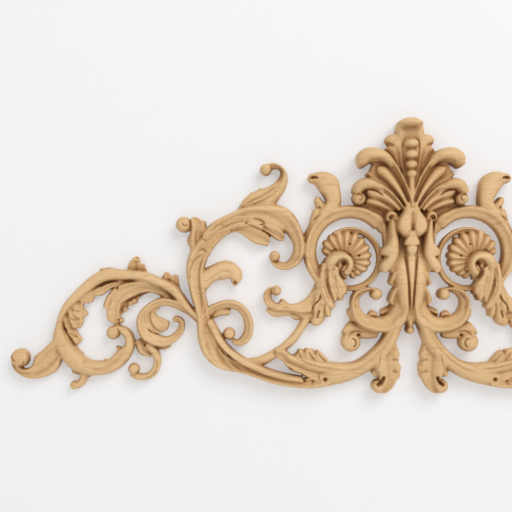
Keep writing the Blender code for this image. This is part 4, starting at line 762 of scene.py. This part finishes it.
# Everything that is drawn on the left and mirrored to the right.
SIDE_BANDS = (
    LEFT_WING + MAIN_STEM + RAIL + CENTRE_SCROLL + RING_LEAVES + CASCADE + CENTRE_SIDES + FEATHERS
)
SIDE_KNOBS = (
    LEFT_WING_KNOBS + MAIN_STEM_KNOBS + RAIL_KNOBS + CENTRE_SCROLL_KNOBS + RING_LEAF_KNOBS
    + CASCADE_KNOBS + PALMETTE_KNOBS
)


def smooth_curve(knots, values, where):
    """Natural cubic spline through the rows of values at the knots, read at where."""
    count = len(knots)
    gaps = np.diff(knots)
    slopes = np.diff(values, axis=0) / gaps[:, None]
    system = np.eye(count)
    target = np.zeros_like(values)
    for row in range(1, count - 1):
        system[row, row - 1] = gaps[row - 1]
        system[row, row] = 2 * (gaps[row - 1] + gaps[row])
        system[row, row + 1] = gaps[row]
        target[row] = 6 * (slopes[row] - slopes[row - 1])
    bend = np.linalg.solve(system, target)
    piece = np.clip(np.searchsorted(knots, where) - 1, 0, count - 2)
    gap = gaps[piece][:, None]
    before = (where - knots[piece])[:, None]
    after = (knots[piece + 1] - where)[:, None]
    curve = (bend[piece] * after**3 + bend[piece + 1] * before**3) / (6 * gap)
    curve += (values[piece] / gap - bend[piece] * gap / 6) * after
    curve += (values[piece + 1] / gap - bend[piece + 1] * gap / 6) * before
    return curve


def lengths_along(line):
    """How far each point of a line lies from its first point, along the line."""
    steps = np.linalg.norm(np.diff(line, axis=0), axis=1)
    return np.concatenate([[0.0], np.cumsum(steps)])


def rounded(gap):
    """One in the middle of a cut, easing to nothing where the gap is one."""
    return 0.5 + 0.5 * np.cos(math.pi * np.clip(gap, 0.0, 1.0))


def on_sheet(points):
    """Sheet points as X and Z in metres."""
    across = (points[..., 0] - SHEET_CENTRE_X) * SQUARE
    up = (SHEET_DATUM_Y - points[..., 1]) * SQUARE
    return np.stack([across, up], axis=-1)


def closed_tube(rings):
    """Points and faces of a closed body through rings of equally many points."""
    count, size = rings.shape[:2]
    points = rings.reshape(-1, 3)
    ends = np.stack([rings[0].mean(axis=0), rings[-1].mean(axis=0)])
    points = np.concatenate([points, ends])
    faces = []
    first_end = count * size
    for row in range(count - 1):
        for index in range(size):
            after = (index + 1) % size
            low = row * size
            high = low + size
            faces.append((low + index, low + after, high + after, high + index))
    last = (count - 1) * size
    for index in range(size):
        after = (index + 1) % size
        faces.append((after, index, first_end))
        faces.append((last + index, last + after, first_end + 1))
    return points, faces


def band(relief, section, along, stations):
    """One scroll or leaf: rings across it, from its left edge to its right edge and the back."""
    stations = np.array(stations, dtype=float)
    knots = lengths_along((stations[:, :2] + stations[:, 2:]) / 2)
    count = max(LEAST_RINGS, math.ceil(knots[-1] * SQUARE / RING_STEP))
    places = np.linspace(0.0, knots[-1], count)
    edges = smooth_curve(knots, stations, places)
    heights = relief * smooth_curve(
        np.linspace(0.0, 1.0, len(along)), np.array(along)[:, None], places / knots[-1])[:, 0]
    left = on_sheet(edges[:, :2])
    right = on_sheet(edges[:, 2:])
    widest = np.linalg.norm(right - left, axis=1).max()
    across = max(LEAST_ACROSS, math.ceil(widest / CROSS_STEP))
    # The points lie closer together towards both edges, where the section is steep.
    shares = (1.0 - np.cos(np.linspace(0.0, math.pi, across))) / 2
    shares = (shares + np.linspace(0.0, 1.0, across)) / 2
    section = np.array(section)
    lifts = smooth_curve(section[:, 0], section[:, 1:], shares)[:, 0]
    depth = np.maximum(heights[:, None] * lifts[None, :], TIP_THICKNESS)
    front = left[:, None, :] + (right - left)[:, None, :] * shares[None, :, None]
    rings = np.zeros((count, across + 2, 3))
    rings[:, :across, 0] = front[..., 0]
    rings[:, :across, 1] = -depth
    rings[:, :across, 2] = front[..., 1]
    rings[:, across, 0::2] = right
    rings[:, across + 1, 0::2] = left
    return closed_tube(rings)


def tooth(base_x, base_y, tip_x, tip_y, width, relief):
    """A small pointed leaf tooth."""
    along = np.array([tip_x - base_x, tip_y - base_y], dtype=float)
    side = np.array([along[1], -along[0]]) / np.linalg.norm(along)
    stations = []
    for share, spread in TOOTH_TAPER:
        middle = np.array([base_x, base_y]) + along * share
        first = middle + side * width / 2 * spread
        second = middle - side * width / 2 * spread
        stations.append((*first, *second))
    return band(relief, LEAF, TOOTH_ALONG, stations)


def knob(x, y, radius, relief, height=1.0):
    """A domed knob down to the back: its radius across, and its height as a share of its width."""
    centre = on_sheet(np.array([x, y], dtype=float))
    angles = np.linspace(0.0, 2 * math.pi, KNOB_SIDES, endpoint=False)
    circle = np.stack([np.cos(angles), height * np.sin(angles)], axis=1) * radius * SQUARE
    rings = np.zeros((len(KNOB) + 1, KNOB_SIDES, 3))
    for row, (reach, lift) in enumerate(((1.0, 0.0),) + KNOB):
        rings[row, :, 0::2] = centre + circle * reach
        rings[row, :, 1] = -relief * lift
    return closed_tube(rings)


def ring(relief, centre, radii, angles, count):
    """A ring or a part of one: a band with its stations on an arc, outer point then inner point."""
    stations = []
    for angle in np.radians(np.linspace(angles[0], angles[1], count)):
        direction = np.array([math.cos(angle), math.sin(angle)])
        outer = centre + radii[0] * direction
        inner = centre + radii[1] * direction
        stations.append((*outer, *inner))
    return band(relief, RIM, FULL, stations)


def fan():
    """The fan of petals behind the roll: a domed sector of rounded petals with deep grooves."""
    start, end = np.radians(SHELL_ANGLES)
    angles = np.linspace(start, end, SHELL_PETALS * PETAL_STEPS + 1)
    turn = np.linspace(0.0, SHELL_PETALS, len(angles))
    swell = np.abs(np.sin(math.pi * turn)) ** PETAL_FULLNESS
    along = np.linspace(0.0, len(SHELL_REACH) - 1, len(angles))
    reach = np.interp(along, np.arange(len(SHELL_REACH)), SHELL_REACH)
    reach *= 1.0 - PETAL_NOTCH + PETAL_NOTCH * swell
    rings = np.zeros((len(angles), len(PETAL_SECTION) + 2, 3))
    direction = np.stack([np.cos(angles), np.sin(angles)], axis=1)
    for column, (share, crest, groove) in enumerate(PETAL_SECTION):
        rings[:, column, 0::2] = on_sheet(SHELL_CENTRE + direction * (reach * share)[:, None])
        depth = crest * swell + crest * groove * (1.0 - swell)
        rings[:, column, 1] = -SHELL_RELIEF * depth
    rings[:, -2, 0::2] = on_sheet(SHELL_CENTRE + direction * SHELL_HUB)
    rings[:, -1, 0::2] = on_sheet(SHELL_CENTRE + direction * reach[:, None])
    return closed_tube(rings)


def all_shapes():
    """Every shape of the left half, and every shape that lies across the centre line."""
    sides = [band(*entry) for entry in SIDE_BANDS + SMALL_LEAVES]
    sides.append(ring(RING_RELIEF, RING_CENTRE, RING_RADII, RING_ANGLES, RING_STATIONS))
    sides.append(ring(
        THIN_RING_RELIEF, THIN_RING_CENTRE, THIN_RING_RADII, THIN_RING_ANGLES, THIN_RING_STATIONS))
    sides.append(fan())
    sides += [tooth(*entry) for entry in TEETH]
    sides += [knob(*entry) for entry in SIDE_KNOBS + SMALL_KNOBS]
    middle = [band(*entry) for entry in CENTRE + PALMETTE]
    middle += [knob(*entry) for entry in BUD_KNOBS]
    return sides, middle


def block_out():
    """All shapes of both halves in one mesh of overlapping closed bodies."""
    sides, middle = all_shapes()
    every_point = []
    every_face = []
    total = 0
    for mirrored, group in ((False, sides + middle), (True, sides)):
        for points, faces in group:
            if mirrored:
                points = points * (-1.0, 1.0, 1.0)
            for face in faces:
                every_face.append(tuple(total + index for index in face))
            every_point.append(points)
            total += len(points)
    mesh = bpy.data.meshes.new("scroll_onlay_carved")
    mesh.from_pydata(np.concatenate(every_point).tolist(), [], every_face)
    return mesh


def line_distance(spots, line):
    """Distance of each spot from a line of sheet points, and how far along it the spot lies."""
    nearest = np.full(len(spots), np.inf)
    place = np.zeros(len(spots))
    lengths = np.linalg.norm(np.diff(line, axis=0), axis=1)
    total = lengths.sum()
    passed = 0.0
    for start, end, length in zip(line, line[1:], lengths):
        run = end - start
        share = np.clip((spots - start) @ run / length**2, 0.0, 1.0)
        gap = np.linalg.norm(spots - start - share[:, None] * run, axis=1)
        closer = gap < nearest
        nearest[closer] = gap[closer]
        place[closer] = (passed + share[closer] * length) / total
        passed += length
    return nearest, place


def cut_lines(spots, depth):
    """Pushes the front in along every cut, and out along every raised line."""
    for half_width, deep, corners in CUTS:
        corners = np.array(corners, dtype=float)
        knots = lengths_along(corners)
        line = smooth_curve(knots, corners, np.linspace(0.0, knots[-1], CUT_STEPS * len(corners)))
        low = line.min(axis=0) - half_width
        high = line.max(axis=0) + half_width
        near = np.nonzero(((spots > low) & (spots < high)).all(axis=1))[0]
        gap, place = line_distance(spots[near], line)
        inside = gap < half_width
        fade = np.clip(np.minimum(place, 1.0 - place) * CUT_END_FADE, 0.0, 1.0) ** CUT_END_POWER
        depth[near[inside]] -= (deep * fade * rounded(gap / half_width))[inside]


def drill_eyes(spots, depth):
    """Pushes the front in at every drilled eye."""
    for x, y, radius, deep in EYES:
        gap = np.linalg.norm(spots - (x, y), axis=1) / radius
        inside = gap < 1.0
        depth[inside] -= deep * rounded(gap[inside])


def edge_samples():
    """Points along both edges of every band and around every knob, with the height of the edge."""
    samples = []
    for relief, section, along, stations in SIDE_BANDS + SMALL_LEAVES + CENTRE + PALMETTE:
        stations = np.array(stations, dtype=float)
        knots = lengths_along((stations[:, :2] + stations[:, 2:]) / 2)
        count = max(LEAST_EDGE_POINTS, math.ceil(knots[-1] * EDGE_POINTS))
        places = np.linspace(0.0, knots[-1], count)
        edges = smooth_curve(knots, stations, places)
        heights = relief * np.interp(places / knots[-1], np.linspace(0.0, 1.0, len(along)), along)
        first_lift = (section[0][1] + section[1][1]) / 2
        last_lift = (section[-1][1] + section[-2][1]) / 2
        samples.append(np.column_stack([edges[:, :2], heights * first_lift]))
        samples.append(np.column_stack([edges[:, 2:], heights * last_lift]))
    for x, y, radius, relief, *squash in SIDE_KNOBS + BUD_KNOBS:
        angles = np.linspace(0.0, 2 * math.pi, max(LEAST_ROUND_POINTS, int(radius * ROUND_POINTS)))
        height = np.full(len(angles), relief * KNOB[1][1])
        tall = radius * (squash[0] if squash else 1.0)
        samples.append(np.column_stack([
            x + radius * np.cos(angles), y + tall * np.sin(angles), height]))
    return np.concatenate(samples)


def set_in(spots, depth):
    """Cuts the lower forms down beside each higher edge, as a carver's set-in line does."""
    samples = edge_samples()
    cells_x = int(SHEET_CENTRE_X / SET_IN_CELL) + SPARE_CELLS
    cells_y = int(SET_IN_HEIGHT / SET_IN_CELL)
    height = np.zeros((cells_y, cells_x))
    weight = np.zeros((cells_y, cells_x))
    reach = int(SET_IN_WIDTH / SET_IN_CELL)
    column = (samples[:, 0] / SET_IN_CELL).astype(int)
    row = ((samples[:, 1] - SET_IN_TOP) / SET_IN_CELL).astype(int)
    for step_y in range(-reach, reach + 1):
        for step_x in range(-reach, reach + 1):
            gap = math.hypot(step_x, step_y) / reach
            if gap > 1.0:
                continue
            rows = np.clip(row + step_y, 0, cells_y - 1)
            columns = np.clip(column + step_x, 0, cells_x - 1)
            np.maximum.at(height, (rows, columns), samples[:, 2])
            np.maximum.at(weight, (rows, columns), 1.0 - gap)
    columns = np.clip((spots[:, 0] / SET_IN_CELL).astype(int), 0, cells_x - 1)
    rows = np.clip(((spots[:, 1] - SET_IN_TOP) / SET_IN_CELL).astype(int), 0, cells_y - 1)
    drop = np.clip((height[rows, columns] - depth) / SET_IN_DROP, 0.0, 1.0)
    depth -= SET_IN_DEPTH * weight[rows, columns] * drop


def read_rows(mesh, what):
    """The places or normals of a mesh's points, one row each."""
    rows = np.empty(len(mesh.vertices) * 3, dtype=np.float32)
    mesh.vertices.foreach_get(what, rows)
    return rows.reshape(-1, 3)


def move_points(mesh, points):
    """Puts the mesh's points at new places."""
    mesh.vertices.foreach_set("co", points.astype(np.float32).ravel())
    mesh.update()


def carve(mesh):
    """The fine carving: set-in lines, cuts, raised lines and drilled eyes on the front."""
    points = read_rows(mesh, "co").astype(float)
    facing = -read_rows(mesh, "normal")[:, 1]
    points[points[:, 1] > -BACK_SNAP * VOXEL, 1] = 0.0
    front = np.nonzero((facing > LEAST_FACING) & (points[:, 1] < -LEAST_DEPTH))[0]
    spots = np.column_stack([
        SHEET_CENTRE_X - np.abs(points[front, 0]) / SQUARE,
        SHEET_DATUM_Y - points[front, 2] / SQUARE,
    ])
    depth = -points[front, 1]
    before = depth.copy()
    set_in(spots, depth)
    cut_lines(spots, depth)
    drill_eyes(spots, depth)
    depth = before + (depth - before) * np.clip(facing[front] * STEEP_FADE, 0.0, 1.0)
    depth = np.maximum(depth, FLOOR_THICKNESS)
    reach = -cad_box[0][1]
    over = np.maximum(depth - (reach - CREST_EASE), 0.0)
    points[front, 1] = -(depth - over + CREST_EASE * np.tanh(over / CREST_EASE))
    move_points(mesh, points)


def keep_inside(mesh):
    """Holds every point inside the box of the solid."""
    low = np.array(cad_box[0], dtype=np.float32) + BOX_MARGIN
    high = np.array(cad_box[1], dtype=np.float32) - BOX_MARGIN
    high[1] = 0.0
    move_points(mesh, np.clip(read_rows(mesh, "co"), low, high))


def carved_onlay():
    """The blended carving as one closed piece with a flat back."""
    piece = bpy.data.objects.new("carved_onlay", block_out())
    bpy.context.scene.collection.objects.link(piece)
    bpy.ops.object.select_all(action="DESELECT")
    piece.select_set(True)
    bpy.context.view_layer.objects.active = piece
    bpy.ops.object.mode_set(mode="EDIT")
    bpy.ops.mesh.select_all(action="SELECT")
    bpy.ops.mesh.normals_make_consistent(inside=False)
    bpy.ops.object.mode_set(mode="OBJECT")
    blend = piece.modifiers.new("blend", "REMESH")
    blend.mode = "VOXEL"
    blend.voxel_size = VOXEL
    bpy.ops.object.modifier_apply(modifier=blend.name)
    carve(piece.data)
    faces = sum(len(face.vertices) - 2 for face in piece.data.polygons)
    lighter = piece.modifiers.new("fewer faces", "DECIMATE")
    lighter.ratio = min(1.0, TRIANGLES / faces)
    bpy.ops.object.modifier_apply(modifier=lighter.name)
    keep_inside(piece.data)
    piece.data.shade_smooth()
    return piece


class Sum:
    """A shader number that can be used in plain expressions."""

    def __init__(self, tree, socket):
        self.tree = tree
        self.socket = socket

    def maths(self, operation, first, second):
        """A Math node on two numbers, either of which may be a plain one."""
        node = self.tree.nodes.new("ShaderNodeMath")
        node.operation = operation
        for index, value in enumerate((first, second)):
            if isinstance(value, Sum):
                self.tree.links.new(value.socket, node.inputs[index])
            else:
                node.inputs[index].default_value = value
        return Sum(self.tree, node.outputs[0])

    def __add__(self, other):
        return self.maths("ADD", self, other)

    def __radd__(self, other):
        return self.maths("ADD", other, self)

    def __sub__(self, other):
        return self.maths("SUBTRACT", self, other)

    def __rsub__(self, other):
        return self.maths("SUBTRACT", other, self)

    def __mul__(self, other):
        return self.maths("MULTIPLY", self, other)

    def __rmul__(self, other):
        return self.maths("MULTIPLY", other, self)

    def __pow__(self, other):
        return self.maths("POWER", self, other)

    def clipped(self):
        """The number held between nought and one."""
        node = self.tree.nodes.new("ShaderNodeClamp")
        self.tree.links.new(self.socket, node.inputs[0])
        return Sum(self.tree, node.outputs[0])


class Finish:
    """A material whose nodes are made by one method."""

    def __init__(self, name):
        self.material = bpy.data.materials.new(name)
        self.material.use_nodes = True
        self.tree = self.material.node_tree
        self.shader = self.tree.nodes["Principled BSDF"]

    def node(self, kind, settings=(), sockets=()):
        """A node of one kind: its settings first, then the values or links of its sockets."""
        node = self.tree.nodes.new("ShaderNode" + kind)
        for name, value in dict(settings).items():
            setattr(node, name, value)
        for name, value in dict(sockets).items():
            self.put(value, node.inputs[name])
        return node

    def put(self, value, socket):
        """Links a number or a socket to a socket, or sets its plain value."""
        if isinstance(value, Sum):
            self.tree.links.new(value.socket, socket)
        elif isinstance(value, bpy.types.NodeSocket):
            self.tree.links.new(value, socket)
        else:
            socket.default_value = value

    def number(self, node, output=0):
        """One output of a node as a number for expressions."""
        return Sum(self.tree, node.outputs[output])

    def noise(self, place, scale, detail, roughness):
        """Soft noise with its own scale along each axis."""
        stretched = self.node("Mapping", {}, {"Vector": place, "Scale": scale})
        node = self.node("TexNoise", {}, {
            "Vector": stretched.outputs[0], "Scale": 1.0, "Detail": detail, "Roughness": roughness})
        return self.number(node)

    def mixed(self, share, first, second):
        """Two colours mixed by a share of the second."""
        node = self.node("Mix", {"data_type": "RGBA"}, {0: share, 6: first, 7: second})
        return node.outputs[2]


def wood():
    """Light sanded wood, grain along the onlay; painted shade darkens recesses, open wood painted paler.
    """
    finish = Finish("onlay_wood")
    place = finish.node("TexCoord").outputs["Object"]
    tone = finish.noise(place, *TONE_NOISE)
    warp = finish.noise(place, *WARP_NOISE)
    split = finish.node("SeparateXYZ", {}, {0: place})
    along = finish.number(split, 0)
    depth = finish.number(split, 1)
    height = finish.number(split, 2)
    layer = height + GRAIN_LEAN * depth + GRAIN_WARP * warp
    spread = finish.node("CombineXYZ", {}, {0: along * GRAIN_ALONG, 1: 0.0, 2: layer})
    rings = finish.noise(spread.outputs[0], *GRAIN_NOISE)
    pores = finish.noise(place, *PORE_NOISE)
    # Dashes and lines are the peaks of the two noises: short pores, and the rings' late wood.
    dashes = ((pores - PORE_START) * PORE_SHARPNESS).clipped()
    lines = ((rings - LINE_START) * LINE_SHARPNESS).clipped()
    # Ambient occlusion drives painted shade here: wood hemmed in by other wood is painted darker.
    shade_probe = finish.node(
        "AmbientOcclusion", {"samples": PAINTED_SHADE_SAMPLES, "only_local": True}, {"Distance": PAINTED_SHADE_REACH})
    open_share = finish.number(shade_probe, 1)
    # The pale share is partly the wood's own random tone and partly painted light on open crests.
    pale_share_with_painted_light = (OPEN_PAINTED_LIGHT * open_share + TONE_PALENESS * tone - PALE_START).clipped()
    base = finish.mixed(pale_share_with_painted_light, WOOD_DEEP, WOOD_LIGHT)
    grained = finish.mixed(lines * LINE_STRENGTH, base, WOOD_LINE)
    pored = finish.mixed(dashes * PORE_STRENGTH, grained, WOOD_PORE)
    # Painted shade: the recess colour is laid into creases and hollows where the light would not reach.
    painted_shade = ((1.0 - open_share) * PAINTED_SHADE_GAIN).clipped() ** PAINTED_SHADE_POWER
    colour = finish.mixed(painted_shade * PAINTED_SHADE_STRENGTH, pored, PAINTED_SHADE_COLOUR)
    finish.put(colour, finish.shader.inputs["Base Color"])
    roughness = WOOD_ROUGHNESS + GRAIN_ROUGHNESS * rings + PORE_ROUGHNESS * dashes
    finish.put(roughness, finish.shader.inputs["Roughness"])
    tool_marks = finish.noise(place, *TOOL_NOISE)
    marks = TOOL_RELIEF * tool_marks - LINE_RELIEF * lines - PORE_RELIEF * dashes
    bump = finish.node(
        "Bump", {}, {"Height": marks, "Distance": MARK_HEIGHT, "Strength": MARK_STRENGTH})
    finish.put(bump.outputs[0], finish.shader.inputs["Normal"])
    return finish.material


def ground_paint(name, colour, glow=0.0, one_sided=False):
    """Matt paint that may glow a little, and may be clear where it is seen from behind."""
    finish = Finish(name)
    finish.put(colour, finish.shader.inputs["Base Color"])
    finish.put(GROUND_ROUGHNESS, finish.shader.inputs["Roughness"])
    finish.put(WHITE, finish.shader.inputs["Emission Color"])
    finish.put(glow, finish.shader.inputs["Emission Strength"])
    if one_sided:
        behind = finish.node("NewGeometry").outputs["Backfacing"]
        clear = finish.node("BsdfTransparent").outputs["BSDF"]
        sides = finish.node("MixShader", {}, {0: behind, 1: finish.shader.outputs["BSDF"], 2: clear})
        finish.put(sides.outputs["Shader"], finish.tree.nodes["Material Output"].inputs["Surface"])
    return finish.material


def plane(name, place, size, turn=0.0):
    """A flat sheet, level or tipped up about the line through its middle by an angle in degrees."""
    half_x, half_y = size[0] / 2, size[1] / 2
    corners = [(-half_x, -half_y, 0), (half_x, -half_y, 0), (half_x, half_y, 0), (-half_x, half_y, 0)]
    mesh = bpy.data.meshes.new(name)
    mesh.from_pydata(corners, [], [(0, 1, 2, 3)])
    sheet = bpy.data.objects.new(name, mesh)
    sheet.location = place
    sheet.rotation_euler = (math.radians(turn), 0.0, 0.0)
    bpy.context.scene.collection.objects.link(sheet)
    return sheet


def soft_light(name, place, size, power):
    """A round soft light that points at the middle of the picture."""
    data = bpy.data.lights.new(name, "AREA")
    data.shape = "DISK"
    data.size = size
    data.energy = power
    light = bpy.data.objects.new(name, data)
    light.location = place
    aim = Vector((CAMERA_X, 0.0, 0.0)) - Vector(place)
    light.rotation_euler = aim.to_track_quat("-Z", "Y").to_euler()
    bpy.context.scene.collection.objects.link(light)


def studio():
    """A pale wall right behind the back, a pale floor below, soft lights and the camera."""
    wall = plane("wall", (0.0, WALL_GAP, 0.0), WALL_SIZE, 90)
    wall.data.materials.append(ground_paint("wall_paint", WALL_COLOUR, WALL_GLOW, True))
    floor = plane("floor", FLOOR_PLACE, FLOOR_SIZE)
    floor.data.materials.append(ground_paint("floor_paint", FLOOR_COLOUR))
    soft_light("key", *KEY_LIGHT)
    soft_light("fill", *FILL_LIGHT)
    world = bpy.data.worlds.new("room")
    world.use_nodes = True
    background = world.node_tree.nodes["Background"]
    background.inputs["Color"].default_value = WHITE
    background.inputs["Strength"].default_value = ROOM_LIGHT
    bpy.context.scene.world = world
    bpy.context.scene.view_settings.view_transform = "Standard"
    lens = bpy.data.cameras.new("camera")
    lens.sensor_width = SENSOR_WIDTH
    lens.lens = SENSOR_WIDTH * CAMERA_DISTANCE / FRAME_WIDTH
    camera = bpy.data.objects.new("camera", lens)
    camera.location = (CAMERA_X, -CAMERA_PLANE - CAMERA_DISTANCE, 0.0)
    camera.rotation_euler = (math.radians(90), 0.0, 0.0)
    bpy.context.scene.collection.objects.link(camera)
    bpy.context.scene.camera = camera


onlay = carved_onlay()
onlay.data.materials.clear()
onlay.data.materials.append(wood())
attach(onlay, "root")
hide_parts("scroll_onlay")
studio()
